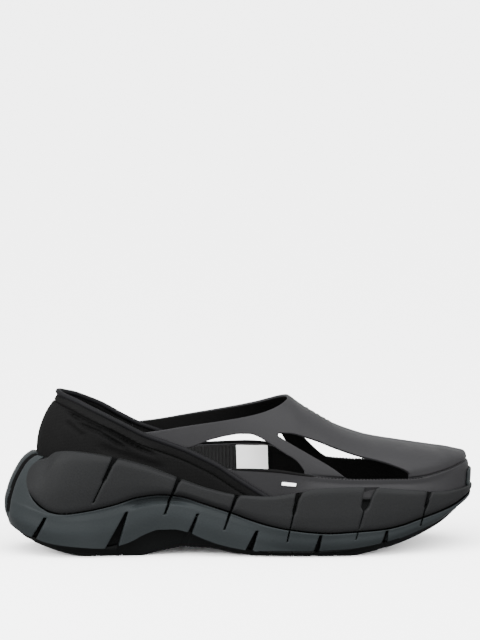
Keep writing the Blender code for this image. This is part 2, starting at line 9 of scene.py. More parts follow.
import bmesh
import bpy
import numpy as np
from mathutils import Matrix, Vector


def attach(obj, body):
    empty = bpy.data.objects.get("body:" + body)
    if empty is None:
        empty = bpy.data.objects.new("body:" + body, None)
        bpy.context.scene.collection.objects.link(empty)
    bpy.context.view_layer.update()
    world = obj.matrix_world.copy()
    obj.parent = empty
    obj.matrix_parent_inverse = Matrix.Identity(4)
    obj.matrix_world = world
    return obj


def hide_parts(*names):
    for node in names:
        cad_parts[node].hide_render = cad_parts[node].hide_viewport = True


bl_info = {
    "name": "Slip-on sneaker",
    "version": (1, 0, 0),
    "blender": (4, 5, 0),
    "location": "3D View > Sidebar > Sneaker",
    "description": "Builds the visible pieces of a slip-on sneaker around its CAD frame",
    "category": "Object",
}

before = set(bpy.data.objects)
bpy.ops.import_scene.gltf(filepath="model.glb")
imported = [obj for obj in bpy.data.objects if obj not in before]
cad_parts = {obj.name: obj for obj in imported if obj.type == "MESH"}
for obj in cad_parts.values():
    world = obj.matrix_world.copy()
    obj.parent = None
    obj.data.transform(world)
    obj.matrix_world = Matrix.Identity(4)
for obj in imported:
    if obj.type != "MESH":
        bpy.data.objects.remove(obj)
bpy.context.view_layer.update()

# Driving sizes, in metres
LENGTH = 0.311
BALL_WIDTH = 0.107
HEEL_STACK = 0.0695
SEAM_BELOW_STACK = 0.0125
INSTEP_RISE = 0.0437
COLLAR_RISE = 0.0486
CAGE_WALL = 0.0020
RIM_STEP = 0.0006
SLEEVE_WALL = 0.0020
BINDING_RADIUS = 0.0017
INSOLE_THICKNESS = 0.0040
INSOLE_CLEARANCE = 0.0006
TOE_TAB_WALL = 0.0016
TOE_TAB_WIDTH = 0.030
TOE_TAB_HEIGHT = 0.0105
MEDIAL_WALL_RISE = 0.0070
GAP = 0.0003

# How far the upper stands in from the side of the sole, at the heel and at the ball
HEEL_MARGIN = 0.0082
BALL_MARGIN = 0.0056
# Where the heel's margin starts to change, and where the ball's is reached
MARGIN_FROM = 0.30
MARGIN_TO = 0.70
# How far the upper's wall tucks in from its seam down to the footbed
WALL_TUCK = 0.0030
WALL_CURVE = 1.5
# Depths of the cuts in the sole
TREAD_GROOVE_DEPTH = 0.0022
TREAD_GROOVE_WIDTH = 0.0030

# Round ends of a plan outline, as shares of its own length
HEEL_ROUND = 0.17
TOE_ROUND = 0.30
# Height of the sloping collar line's thickness over that thickness square to it
COLLAR_SLOPE = 1.12

# Heights above the floor: the seam at the waist, the throat of the collar, the heel of the collar
SEAM_HEIGHT = HEEL_STACK - SEAM_BELOW_STACK
INSTEP_HEIGHT = SEAM_HEIGHT + INSTEP_RISE
HEEL_HEIGHT = SEAM_HEIGHT + COLLAR_RISE
SLEEVE_INNER = RIM_STEP + GAP
SLEEVE_OUTER = SLEEVE_INNER + SLEEVE_WALL

Height = namedtuple("Height", "along height")
Plan = namedtuple("Plan", "along centre half_width")
Level = namedtuple("Level", "name lower upper mix back front inset")
Notch = namedtuple(
    "Notch", "top top_height top_width foot foot_height foot_width fine", defaults=(0.0,))
Back = namedtuple("Back", "height along")

# Plan of the sole: centre line and half width as shares of BALL_WIDTH, before the ends are rounded
SOLE_PLAN = (
    Plan(0.00, 0.000, 0.376), Plan(0.20, 0.000, 0.382), Plan(0.35, -0.018, 0.358),
    Plan(0.45, -0.020, 0.392), Plan(0.60, -0.014, 0.472), Plan(0.70, -0.008, 0.498),
    Plan(0.80, 0.010, 0.514), Plan(0.90, 0.040, 0.524), Plan(1.00, 0.070, 0.524),
)
# Underside of the tread, as shares of HEEL_STACK: flat under the heel and under the forefoot
TREAD = (
    Height(0.00, 0.225), Height(0.03, 0.175), Height(0.045, 0.140), Height(0.087, 0.072),
    Height(0.129, 0.022), Height(0.161, 0.0), Height(0.277, 0.0), Height(0.322, 0.043),
    Height(0.370, 0.079), Height(0.418, 0.072), Height(0.482, 0.017), Height(0.524, 0.0),
    Height(0.714, 0.0), Height(0.759, 0.032), Height(0.804, 0.076), Height(0.849, 0.135),
    Height(0.884, 0.191), Height(0.920, 0.259), Height(0.952, 0.338), Height(1.00, 0.430),
)
# Lower edge of the sole's side, as shares of HEEL_STACK
LOWER_EDGE = (
    Height(0.00, 0.280), Height(0.032, 0.208), Height(0.058, 0.173), Height(0.087, 0.136),
    Height(0.130, 0.112), Height(0.203, 0.092), Height(0.232, 0.115), Height(0.257, 0.151),
    Height(0.289, 0.223), Height(0.318, 0.262), Height(0.347, 0.262), Height(0.376, 0.236),
    Height(0.408, 0.176), Height(0.444, 0.119), Height(0.495, 0.072), Height(0.556, 0.046),
    Height(0.627, 0.045), Height(0.690, 0.058), Height(0.778, 0.112), Height(0.868, 0.219),
    Height(0.913, 0.288), Height(0.955, 0.382), Height(1.00, 0.455),
)
# Line between the two tiers of the sole, as shares of HEEL_STACK
TIER_LINE = (
    Height(0.00, 0.530), Height(0.05, 0.470), Height(0.085, 0.425), Height(0.115, 0.414),
    Height(0.160, 0.438), Height(0.225, 0.500), Height(0.275, 0.567), Height(0.320, 0.587),
    Height(0.360, 0.570), Height(0.410, 0.500), Height(0.463, 0.424), Height(0.505, 0.355),
    Height(0.547, 0.299), Height(0.590, 0.262), Height(0.640, 0.236), Height(0.670, 0.229),
    Height(0.720, 0.240), Height(0.790, 0.258), Height(0.830, 0.288), Height(0.860, 0.325),
    Height(0.916, 0.383), Height(0.950, 0.425), Height(0.975, 0.470), Height(1.00, 0.515),
)
# Round heel end of the upper tier, an arc that starts on the tier line
LOBE_ALONG = 0.113
LOBE_REACH = 0.070
LOBE_MIDDLE = 0.705
LOBE_RISE = 0.245
LOBE_TOP_ALONG = 0.083
# Top edge of the sole, as shares of HEEL_STACK
SOLE_TOP = (
    Height(0.00, 0.925), Height(0.058, 0.927), Height(0.084, 0.921), Height(0.106, 0.984),
    Height(0.129, 1.000), Height(0.167, 0.986), Height(0.215, 0.947), Height(0.273, 0.878),
    Height(0.354, 0.747), Height(0.418, 0.650), Height(0.482, 0.590), Height(0.540, 0.578),
    Height(0.598, 0.613), Height(0.650, 0.653), Height(0.733, 0.665), Height(0.804, 0.639),
    Height(0.887, 0.590), Height(0.932, 0.566), Height(1.00, 0.575),
)
# Footbed inside the sole, as shares of HEEL_STACK
FOOTBED = (
    Height(0.00, 0.547), Height(0.25, 0.540), Height(0.45, 0.450), Height(0.60, 0.381),
    Height(0.80, 0.381), Height(1.00, 0.475),
)
# Seam between the upper's rim and its cage, as shares of SEAM_HEIGHT
SEAM = (
    Height(0.00, 1.000), Height(0.480, 1.000), Height(0.553, 0.991), Height(0.611, 0.953),
    Height(0.665, 0.912), Height(0.714, 0.895), Height(0.804, 0.881), Height(0.849, 0.870),
    Height(0.878, 0.877), Height(0.910, 0.902), Height(0.939, 0.930), Height(0.971, 0.968),
    Height(1.00, 0.990),
)
# Ridge of the last, as shares of INSTEP_HEIGHT: the throat of the collar is at 0.600 along
RIDGE = (
    Height(0.00, 1.370), Height(0.225, 1.330), Height(0.354, 1.260), Height(0.482, 1.142),
    Height(0.547, 1.068), Height(0.601, 1.000), Height(0.627, 0.942), Height(0.662, 0.874),
    Height(0.704, 0.800), Height(0.736, 0.761), Height(0.772, 0.725), Height(0.842, 0.681),
    Height(0.900, 0.650), Height(0.977, 0.614), Height(1.00, 0.606),
)
# Fullness of the last's sections: 2 is an ellipse, more is squarer
FULLNESS = (
    Height(0.00, 2.60), Height(0.30, 2.60), Height(0.45, 2.30), Height(0.60, 2.00),
    Height(0.75, 2.10), Height(0.90, 2.60), Height(1.00, 2.90),
)
# Back of the heel sleeve: height as a share of HEEL_HEIGHT, then how far along that is
HEEL_BACK = (
    Back(0.300, 0.0730), Back(0.540, 0.0675), Back(0.644, 0.0666), Back(0.690, 0.0678),
    Back(0.748, 0.0717), Back(0.805, 0.0780), Back(0.862, 0.0868), Back(0.900, 0.0949),
    Back(0.9375, 0.1039), Back(0.966, 0.1100), Back(1.000, 0.1158), Back(1.136, 0.1450),
    Back(1.340, 0.1930),
)
TOE_FRONT = 0.9870
TOE_CORNER = 0.0109

# Cuts in the upper, seen from the side; heights are shares of INSTEP_HEIGHT
COLLAR_EDGE = (
    Height(0.200, 0.755), Height(0.287, 0.800), Height(0.322, 0.814), Height(0.392, 0.849),
    Height(0.447, 0.874), Height(0.511, 0.908), Height(0.543, 0.931), Height(0.569, 0.958),
    Height(0.588, 0.983), Height(0.6005, 1.003), Height(0.608, 1.040),
)
REAR_OPENING = (
    Height(0.200, 0.660), Height(0.322, 0.665), Height(0.383, 0.704), Height(0.428, 0.755),
    Height(0.463, 0.782), Height(0.489, 0.794), Height(0.508, 0.794), Height(0.526, 0.776),
    Height(0.543, 0.745), Height(0.579, 0.673), Height(0.603, 0.626), Height(0.616, 0.576),
    Height(0.624, 0.530),
)
FRONT_OPENING_STRUT = (
    Height(0.564, 0.790), Height(0.569, 0.779), Height(0.588, 0.742), Height(0.635, 0.658),
    Height(0.676, 0.583), Height(0.712, 0.500),
)
FRONT_OPENING_TOP = (
    Height(0.564, 0.794), Height(0.571, 0.800), Height(0.595, 0.796), Height(0.621, 0.776),
    Height(0.650, 0.747), Height(0.688, 0.701), Height(0.736, 0.651), Height(0.788, 0.609),
    Height(0.820, 0.570), Height(0.836, 0.543), Height(0.844, 0.517), Height(0.846, 0.480),
)
MEDIAL_REAR_OPENING = (
    Height(0.275, 0.660), Height(0.322, 0.672), Height(0.383, 0.710), Height(0.428, 0.750),
    Height(0.480, 0.786), Height(0.520, 0.796), Height(0.560, 0.770), Height(0.598, 0.697),
    Height(0.606, 0.654), Height(0.616, 0.600), Height(0.624, 0.530),
)
MEDIAL_OPENING_STRUT = (
    Height(0.600, 0.790), Height(0.625, 0.730), Height(0.649, 0.665), Height(0.668, 0.605),
    Height(0.687, 0.551), Height(0.712, 0.500),
)
MEDIAL_OPENING_TOP = (
    Height(0.600, 0.794), Height(0.621, 0.776), Height(0.650, 0.742), Height(0.688, 0.693),
    Height(0.736, 0.643), Height(0.788, 0.600), Height(0.820, 0.562), Height(0.836, 0.538),
    Height(0.844, 0.512), Height(0.846, 0.480),
)
# Where the medial wall stands higher than the lateral one, as shares of MEDIAL_WALL_RISE
MEDIAL_RISE = (
    Height(0.38, 1.0), Height(0.52, 1.0), Height(0.60, 0.75), Height(0.72, 0.10), Height(0.76, 0.0),
)
# Collar line of the sleeve, top of its binding, as shares of HEEL_HEIGHT
SLEEVE_TOP = (
    Height(0.000, 1.070), Height(0.116, 1.000), Height(0.135, 0.980), Height(0.156, 0.957),
    Height(0.177, 0.928), Height(0.206, 0.890), Height(0.257, 0.814), Height(0.287, 0.770),
    Height(0.322, 0.732), Height(0.380, 0.668), Height(0.410, 0.627), Height(0.444, 0.577),
    Height(0.463, 0.540), Height(0.495, 0.479), Height(0.543, 0.393), Height(0.560, 0.360),
)
TAIL_END = 0.545
# Past the tail the cup closes in on the upper's rim, as shares of LENGTH
TAIL_ROOM = 0.01
TAIL_BLEND = 0.07

# Slots of the upper tier, some of which run on into the lower tier
SIDE_NOTCHES = (
    Notch(0.228, 0.975, 0.0100, 0.180, 0.525, 0.0060, 0.40),
    Notch(0.361, 0.770, 0.0090, 0.329, 0.405, 0.0050),
    Notch(0.482, 0.630, 0.0080, 0.453, 0.262, 0.0040),
    Notch(0.607, 0.650, 0.0090, 0.583, 0.150, 0.0060, 0.50),
    Notch(0.758, 0.700, 0.0250, 0.726, 0.170, 0.0050, 0.50),
    Notch(0.888, 0.620, 0.0090, 0.867, 0.265, 0.0060, 0.45),
)
# Wedges of the lower tier, widest at the floor
EDGE_NOTCHES = (
    Notch(0.081, 0.375, 0.0060, 0.055, 0.150, 0.0120),
    Notch(0.250, 0.435, 0.0060, 0.214, 0.050, 0.0300),
    Notch(0.398, 0.410, 0.0050, 0.379, 0.190, 0.0110),
    Notch(0.521, 0.255, 0.0060, 0.501, 0.030, 0.0170),
    Notch(0.653, 0.216, 0.0060, 0.642, 0.020, 0.0130),
    Notch(0.793, 0.245, 0.0060, 0.786, 0.090, 0.0130),
)
# Grooves across the tread
TREAD_GROOVES = (0.19, 0.24, 0.55, 0.595, 0.64, 0.685)
# Step for measuring the last's slope
NUDGE = 0.004

# Points round the shoe of each sheet
SOLE_COLUMNS = 560
UPPER_COLUMNS = 520
SLEEVE_COLUMNS = 480
INSOLE_COLUMNS = 280
# Rows of points up each sheet, in runs of levels; an eased run is closer together near both ends
Run = namedtuple("Run", "start end count eased", defaults=(False,))
OUTSOLE_RUNS = (
    Run(-1.0, 0.0, 12), Run(0.0, 0.85, 6), Run(0.85, 0.93, 2), Run(0.93, 0.97, 2), Run(0.97, 1.0, 2),
    Run(1.0, 3.0, 14), Run(3.0, 5.0, 26), Run(5.0, 10.0, 26),
)
MIDSOLE_RUNS = (Run(4.6, 8.0, 52), Run(8.0, 9.0, 9), Run(9.0, 10.0, 5))
CAGE_RUNS = (Run(0.86, 1.0, 4), Run(1.0, 2.0, 64, True))
RIM_RUNS = (Run(0.0, 0.8, 9), Run(0.8, 1.0, 10), Run(1.0, 1.3, 24, True))
SLEEVE_RUNS = (Run(0.3, 1.0, 12), Run(1.0, 1.95, 76, True))
INSOLE_RUNS = (Run(0.0, 0.9, 12), Run(0.9, 1.0, 5), Run(1.0, 2.0, 4))
TAB_RUNS = (Run(0.0, 1.15, 60),)
PATCH_RUNS = (Run(0.1, 1.35, 150),)
# Cap on the distances that are worked out, smallest number, joining distance and cut tolerance
FAR = 0.020
TINY = 1e-12
WELD = 2e-6
SNAP = 1e-6
HALVINGS = 24
SHARP_ANGLE = math.radians(48.0)
# Highest level of the last that is searched, and points of the side-view lines and of the lobe's arc
LEVEL_CAP = 1.99
LINE_POINTS = 90
ARC_POINTS = 60

# Ledge of the sole: fall from its top edge to the upper, how deep the cup's wall is seen, its level
LEDGE_FALL = 0.0004
CUP_DEPTH = 0.008
LEDGE_LEVEL = 9.0
# Rings of the sole, counted from its keel, that keep an edge
SOLE_CORNERS = (1, 2, 10)
# Strip turned in along the open edges of the tiers, coloured near black as painted shade in the gaps
# between the tiers and in the notches
FLANGE = 0.0030
# Numbers of the tiers' materials: the second is near-black painted shade; the third is painted shade on
# the outsole's underside and painted light in the midsole's wide slot
PAINTED_SHADE, THIRD = 1, 2
# Distances from a notch's edge at which its sheet gets a row of points, and the slant of its wall
NOTCH_ROWS = (-0.00025, 0.0, 0.0004, 0.0009)
NOTCH_WALL = 0.00025
IN_NOTCH = 0.0001
# How far the wedges' outlines run on below their foot
WEDGE_BELOW = 0.6
# A slot's fine line: its width, and the share of the height in which it opens to the full width
FINE_WIDTH = 0.0028
FINE_BLEND = 0.08
# Distances from the tier line at which the two tiers get a row of points
OUTSOLE_EDGE_ROWS = (0.0004, 0.0009, 0.0016)
MIDSOLE_EDGE_ROWS = (0.0005, 0.0010, 0.0020)
# Rounded edges of the tiers, at the tier line and at the notches: how wide, and how far they fall
OUTSOLE_LIP = (0.0010, 0.0004)
WEDGE_LIP = (0.0009, 0.0003)
MIDSOLE_LIP = (0.0010, 0.0005)
SLOT_LIP = (0.0014, 0.0006)
# Where the tiers run into each other up the back of the heel lobe, and how much they overlap there
SOFT_HEIGHT, SOFT_HEIGHT_BLEND = 0.034, 0.010
SOFT_ALONG, SOFT_BLEND = 0.10, 0.012
TIER_OVERLAP = 0.1
# The block in front of a slot of the upper tier has its top corner cut back
CORNER_FROM = 0.76
CORNER_SPREAD = 0.0065
CORNER_ABOVE = 0.5
# The one wide slot: how wide it is at least, where, its depth, the lean of its bottom, and the share
# of HEEL_STACK below which the bottom is near-black painted shade; above it, the cage's lighter colour
# is painted light
WIDE_SLOT = 0.02
WIDE_SLOT_AT = 0.755
WIDE_SLOT_DEPTH = 0.0013
WIDE_SLOT_SLOPE = 0.0050
WIDE_SLOT_CURVE = 2.5
WIDE_SLOT_SHADE_BELOW = 0.55
# Strip up the back of the heel, between two grooves
HEEL_SPINE = 0.0095
SPINE_GROOVE = 0.0026
SPINE_GROOVE_WIDTH = 0.0017
SPINE_SWELL = 0.0010
SPINE_SWELL_BLEND = 0.004
SPINE_ALONG = 0.12
SPINE_BLEND = 0.012
SPINE_FOOT = 0.022
# Painted shade, near black, at the bottom of the two grooves: half its width, how far it is shifted,
# and where it starts
SPINE_SHADE = 0.0019
SPINE_SHADE_SHIFT = 0.0005
SPINE_SHADE_FOOT = 0.026
# How far to each side of a groove there are rows of points, and how many
SPINE_SPREAD = 0.0032
SPINE_ROWS = 9
# Walls of the grooves across the tread, and the level up to which the underside runs
GROOVE_WALL = 0.0003
UNDERSIDE = 0.02
# Step in under the lower edge, in metres, and its levels; then the levels of the near-black painted
# shadow line there
UNDERCUT = 0.0016
UNDERCUT_RISE = 0.07
UNDERCUT_FOOT = 0.6
SHADE_LINE_FROM, SHADE_LINE_TO = 0.935, 1.001
# Lean of the lower tier below the tier line, under the front of the foot
FRONT_LEAN = 0.0032
FRONT_LEAN_REACH = 0.0130
FRONT_LEAN_FROM = 0.47
FRONT_LEAN_FULL = 0.60
# Hollow band under the tier line: depth at the arch and away from it, then its levels: where it
# starts, how fast it deepens, and how it comes back out up to the tier line
SCOOP_DEPTH = 0.0042
SCOOP_AT_ENDS = 0.0010
SCOOP_FOOT = 2.95
SCOOP_RISE = 0.40
SCOOP_RISE_AT_ENDS = 0.9
SCOOP_OVERHANG = 0.85
SCOOP_HOLD = 0.35
SCOOP_RETURN = 1.7
# Where the band starts and ends, and where it is an arch, each with its blend, as shares of LENGTH
SCOOP_FROM, SCOOP_IN, SCOOP_TO, SCOOP_OUT = 0.08, 0.08, 0.55, 0.1
ARCH_FROM, ARCH_IN, ARCH_TO, ARCH_OUT = 0.235, 0.04, 0.42, 0.08

# Cage: where its rear arms end, how far its openings run on behind the rim, the dip at its toe seam
ARM_END = 0.275
OPENING_BELOW_RIM = 0.004
SEAM_DIP = 0.0012
SEAM_DIP_FROM = 0.62
SEAM_DIP_BLEND = 0.02
SEAM_DIP_ABOVE = 0.0004
SEAM_DIP_WIDTH = 0.0007
# Distances from the cut edges at which the cage and the rim get a row, as shares of the rounding
CAGE_EDGE_ROWS = (0.15, 0.5, 1.0)
RIM_EDGE_ROWS = (0.12, 0.45, 1.0)
# Inner faces are black from here on inward from the edge
INNER_FROM = 0.0004
# Height above the shoe and share behind it that the collar's cut reaches
COLLAR_CUT_HIGH = 1.6
COLLAR_CUT_BEHIND = -0.1
# Ridge between the top face of the toe box and its side: shares of LENGTH, then metres
TOE_RIDGE = ((0.770, 0.0525), (0.845, 0.0556), (0.907, 0.0582), (0.942, 0.0604), (0.971, 0.0617))
TOE_RIDGE_WIDTH = 0.0030
TOE_RIDGE_HEIGHT = 0.0006
# How far the rim spreads toward the sole's top edge, its straight part below the seam, and its curve
RIM_FLARE = 0.0019
RIM_STRAIGHT = 0.0030
RIM_CURVE = 1.6
FLARE_FROM, FLARE_BLEND = 0.57, 0.08
# At the tip of the toe the straight part is shorter and the curve fuller
RIM_TIP_FROM, RIM_TIP_BLEND = 0.90, 0.08
RIM_TIP_SHORTER = 0.8
RIM_TIP_FULLER = 1.15
# Share of its reach in which the rim comes back in below the sole's edge, at the wide slot
RIM_RETURN = 0.3
# Where the binding and the inside of the sleeve cover the end of the far arm, and how far in they come
TUCK_FROM, TUCK_IN, TUCK_TO, TUCK_OUT = 0.20, 0.06, 0.44, 0.05
TUCK_DEPTH = 0.0036
TUCK_EDGE = 0.003
# Plain ribs across the vamp: shares of LENGTH, then metres
RIBS_FROM, RIBS_TO = 0.630, 0.705
RIB_PITCH = 0.0037
RIB_HEIGHT = 0.0003
RIB_REACH = 0.013
RIB_BLEND = 0.01
RIB_SIDE_BLEND = 0.004
# Where the medial side starts to rise, hidden by the sleeve
COUNTER_FROM = 0.12
COUNTER_BLEND = 0.08

# Folds of the sleeve: shares of LENGTH and of HEEL_HEIGHT, half width in metres, shares of fold depth
Fold = namedtuple("Fold", "line width drop lift")
SLEEVE_FOLDS = (
    Fold(((0.113, 0.908), (0.170, 0.832), (0.222, 0.765), (0.273, 0.681), (0.319, 0.612)),
         0.0015, 1.2, 0.85),
    Fold(((0.146, 0.829), (0.196, 0.771), (0.251, 0.666)), 0.0015, 1.0, 0.70),
    Fold(((0.127, 0.827), (0.167, 0.738)), 0.0018, 0.35, 0.30),
    Fold(((0.180, 0.700), (0.260, 0.610), (0.340, 0.530)), 0.0030, 0.5, 0.30),
)
# A fold's ridge beside its trough, and its rows of points, in half widths; how it fades at its ends
FOLD_BESIDE = 1.7
FOLD_SPREAD = 1.4
FOLD_FADE = 0.2
FOLD_ROWS = (0.5, 1.0, 1.6, 2.6)
FOLD_MIDDLE = 0.0003
# The binding bulges out at the very back
BINDING_BACK = 0.0013
BINDING_BACK_TO = 0.140
BINDING_BACK_BLEND = 0.02
BINDING_SINK = 0.0004
BINDING_POINTS = 420
BINDING_SIDES = 16
# Angle round the shoe that the sleeve covers from the heel, and how far it ends below the collar
# line, in radii of the binding
SLEEVE_TURN = 1.75
SLEEVE_LOWERED = 1.5
# Hem along the top of the sleeve: a trough, and a strip above it that stands out a little
HEM_WIDTH = 0.0058
HEM_DEPTH = 0.0011
HEM_TROUGH = 0.0005
HEM_PROUD = 0.0003
HEM_PROUD_BLEND = 0.002
SLEEVE_ROWS = (0.0003, 0.0010, HEM_WIDTH - 0.0006, HEM_WIDTH, HEM_WIDTH + 0.0006)
# Share of the folds that shows on the inside
INNER_SWELL = 0.5

INSOLE_DISH = 0.0010
INSOLE_EDGE_FALL = 0.0006
INSOLE_EDGE_FROM = 0.9
INSOLE_EDGE_BLEND = 0.1
TAB_CORNER = 0.0030
TAB_PROUD = 0.0018
TAB_BELOW = 0.0006
TAB_TURN = 0.9
TAB_COLUMNS = 150
TAB_EDGE_ROWS = (0.0001, 0.0004, 0.0008)

# Side-view corners of the flat pieces: shares of LENGTH and of HEEL_STACK
TACK = ((0.573, 0.681), (0.602, 0.670), (0.603, 0.696), (0.574, 0.708))
LABEL = ((0.499, 0.600), (0.568, 0.600), (0.567, 0.894), (0.497, 0.908))
LINING = ((0.390, 0.640), (0.496, 0.600), (0.496, 0.905), (0.390, 0.910))
PATCH_COLUMNS = 140
PATCH_MARGIN = 0.02
# Relief of the flat pieces: height, then pitch or radians per metre
TACK_RELIEF, TACK_PITCH = 0.00012, 0.0008
LABEL_RELIEF, LABEL_TURN = 0.0003, 260.0
LINING_RELIEF, LINING_RIB = 0.00035, 0.0024
# Where the flat pieces lie, out from the last, and how thick they are
TACK_OUT, TACK_WALL = RIM_STEP + 0.00005, 0.0007
LABEL_OUT, LABEL_WALL = -CAGE_WALL - 0.0016, 0.0004
LINING_OUT, LINING_WALL = -CAGE_WALL - 0.0012, 0.0008
STITCH_FROM = 0.640
STITCH_TO = 0.872
STITCH_DROP = 0.0001
STITCH_RADIUS = 0.00045
STITCH_POINTS = 400
STITCH_SHAPE = np.array([0.5, 0.95, 1.0, 0.95, 0.5])
STITCH_SIDES = 6
# Cords on the rim and on the far wall: where they start and end, and how far below the top edge
CORD_FROM, CORD_TO, CORD_DROP = 0.470, 0.640, 0.0002
WALL_CORD_FROM, WALL_CORD_TO, WALL_CORD_DROP = 0.375, 0.600, -0.0008
CORD_RADIUS = 0.0011
CORD_POINTS = 160
CORD_SIDES = 10
CORD_TIP = 0.15
CORD_TAPER = 0.3

# Finishes: roughness, fineness of the grain and its strength, change of tone, shine, thread pitch
Finish = namedtuple("Finish", "roughness grain bump shade shine weave", defaults=(0.0,))
FINISHES = {
    "outsole rubber": Finish(0.45, 700.0, 0.25, 0.10, 0.03),
    # The tread, notch and slot finishes are painted shade, darker where shade falls; the slot wall is
    # painted light, lighter inside a shaded hollow
    "tread rubber painted shade": Finish(0.60, 700.0, 0.20, 0.05, 0.05),
    "toe tab rubber": Finish(0.45, 700.0, 0.25, 0.10, 0.03),
    "notch painted shade": Finish(0.70, 700.0, 0.20, 0.00, 0.03),
    "slot painted shade": Finish(0.70, 700.0, 0.20, 0.00, 0.03),
    "slot wall painted light": Finish(0.50, 1200.0, 0.20, 0.00, 0.04),
    "midsole foam": Finish(0.52, 900.0, 0.35, 0.08, 0.03),
    "cage shell": Finish(0.50, 1200.0, 0.22, 0.05, 0.04),
    "cage inside": Finish(0.75, 1200.0, 0.30, 0.05, 0.03),
    "sleeve textile": Finish(0.85, 1500.0, 0.40, 0.06, 0.04, 0.0009),
    "binding tape": Finish(0.62, 1500.0, 0.20, 0.08, 0.04, 0.0007),
    "insole textile": Finish(0.92, 1500.0, 0.50, 0.10, 0.05, 0.0010),
    "ribbed lining": Finish(0.80, 1500.0, 0.50, 0.15, 0.10, 0.0009),
    "label tape": Finish(0.80, 1800.0, 0.30, 0.03, 0.30, 0.0005),
    "black thread": Finish(0.80, 2000.0, 0.30, 0.00, 0.05),
}
# Slow changes of tone and of gloss: their size and detail, the band of the noise that they use
MOTTLE_SCALE, MOTTLE_DETAIL = 18.0, 3.0
GLOSS_SCALE, GLOSS_DETAIL, GLOSS_SPREAD = 60.0, 4.0, 0.05
NOISE_LOW, NOISE_HIGH = 0.3, 0.7
GRAIN_DEPTH, GRAIN_DETAIL = 0.0003, 4.0
# Threads of a woven cloth: how the wave texture counts its bands, and how uneven they are
WAVE_UNIT = 20.0
WAVE_DISTORTION, WAVE_DETAIL = 1.5, 1.0

# Stage
FLOOR_SIZE = 400.0
FLOOR_ROUGHNESS, FLOOR_SHINE = 0.9, 0.1
WORLD_STRENGTH = 0.60
Sun = namedtuple("Sun", "name toward strength spread")
SUNS = (
    Sun("overhead sun", (0.05, -0.80, 1.0), 17.0, math.radians(110.0)),
    Sun("back sun", (-0.10, 1.00, 0.55), 2.0, math.radians(120.0)),
)
CAMERA_AIM = (-0.0005, 0.0, 0.1505)
CAMERA_LENS = 188.0
SENSOR_HEIGHT = 36.0
Light = namedtuple("Light", "name place aim width depth power")
LIGHTS = (
    Light("heel side", (-1.3, -0.5, 0.55), (-0.12, 0.0, 0.04), 0.8, 0.8, 45.0),
    Light("toe side", (1.3, -0.6, 0.45), (0.12, 0.0, 0.05), 0.8, 0.8, 24.0),
)


def follow(rows):
    """A smooth curve through a table's rows that never overshoots them."""
    xs = np.array([row[0] for row in rows], dtype=float)
    ys = np.array([row[1] for row in rows], dtype=float)
    steps = np.diff(xs)
    slopes = np.diff(ys) / steps
    tangents = np.zeros_like(xs)
    tangents[0], tangents[-1] = slopes[0], slopes[-1]
    for i in range(1, len(xs) - 1):
        if slopes[i - 1] * slopes[i] > 0.0:
            before = 2.0 * steps[i] + steps[i - 1]
            after = steps[i] + 2.0 * steps[i - 1]
            tangents[i] = (before + after) / (before / slopes[i - 1] + after / slopes[i])

    def value(x):
        x = np.clip(np.asarray(x, dtype=float), xs[0], xs[-1])
        i = np.clip(np.searchsorted(xs, x) - 1, 0, len(xs) - 2)
        t = (x - xs[i]) / steps[i]
        rise = 3.0 * t ** 2 - 2.0 * t ** 3
        lead = (t ** 3 - 2.0 * t ** 2 + t) * steps[i]
        trail = (t ** 3 - t ** 2) * steps[i]
        return ys[i] * (1.0 - rise) + ys[i + 1] * rise + lead * tangents[i] + trail * tangents[i + 1]

    return value


tread_share = follow(TREAD)
lower_edge_share = follow(LOWER_EDGE)
tier_line_share = follow(TIER_LINE)
sole_top_share = follow(SOLE_TOP)
sole_centre = follow([(row.along, row.centre) for row in SOLE_PLAN])
sole_half = follow([(row.along, row.half_width) for row in SOLE_PLAN])
seam_share = follow(SEAM)
ridge_share = follow(RIDGE)
footbed_share = follow(FOOTBED)
fullness = follow(FULLNESS)
heel_back_share = follow(HEEL_BACK)

# Rings of the sole's side, from the floor up: each lies between two of the curves above
SOLE_LEVELS = (
    Level("tread", tread_share, tread_share, 0.0, 0.029, 0.972, 0.0095),
    Level("edge", lower_edge_share, lower_edge_share, 0.0, 0.008, 0.987, 0.0008),
    Level("bulge", lower_edge_share, tier_line_share, 0.42, 0.000, 0.996, 0.0),
    Level("shoulder", lower_edge_share, tier_line_share, 0.74, 0.001, 0.997, 0.0005),
    Level("scoop", lower_edge_share, tier_line_share, 0.92, 0.002, 0.9965, 0.0006),
    Level("tier", tier_line_share, tier_line_share, 0.0, 0.003, 0.998, 0.0008),
    Level("face", tier_line_share, sole_top_share, 0.40, 0.014, 1.000, 0.0),
    Level("cheek", tier_line_share, sole_top_share, 0.88, 0.040, 0.999, 0.0006),
    Level("top", sole_top_share, sole_top_share, 0.0, 0.058, 0.994, 0.0026),
)


def place(along):
    """World x of a share of the length."""
    return (along - 0.5) * LENGTH


def share_of(points):
    """Share of the length at which points lie."""
    return points[..., 0] / LENGTH + 0.5


def outline(theta, back, front, half_trim):
    """Plan points of an outline between two shares of the length, theta running round it."""
    own = 0.5 * (1.0 - np.cos(theta))
    along = back + (front - back) * own
    heel = 1.0 - (1.0 - np.clip(own / HEEL_ROUND, 0.0, 1.0)) ** 2
    toe = 1.0 - (1.0 - np.clip((1.0 - own) / TOE_ROUND, 0.0, 1.0)) ** 2
    rounding = np.sqrt(np.maximum(heel * toe, 0.0)) * np.where(np.sin(theta) < 0.0, 1.0, -1.0)
    half = sole_half(along) * BALL_WIDTH - half_trim
    across = sole_centre(along) * BALL_WIDTH + half * rounding
    return along, across


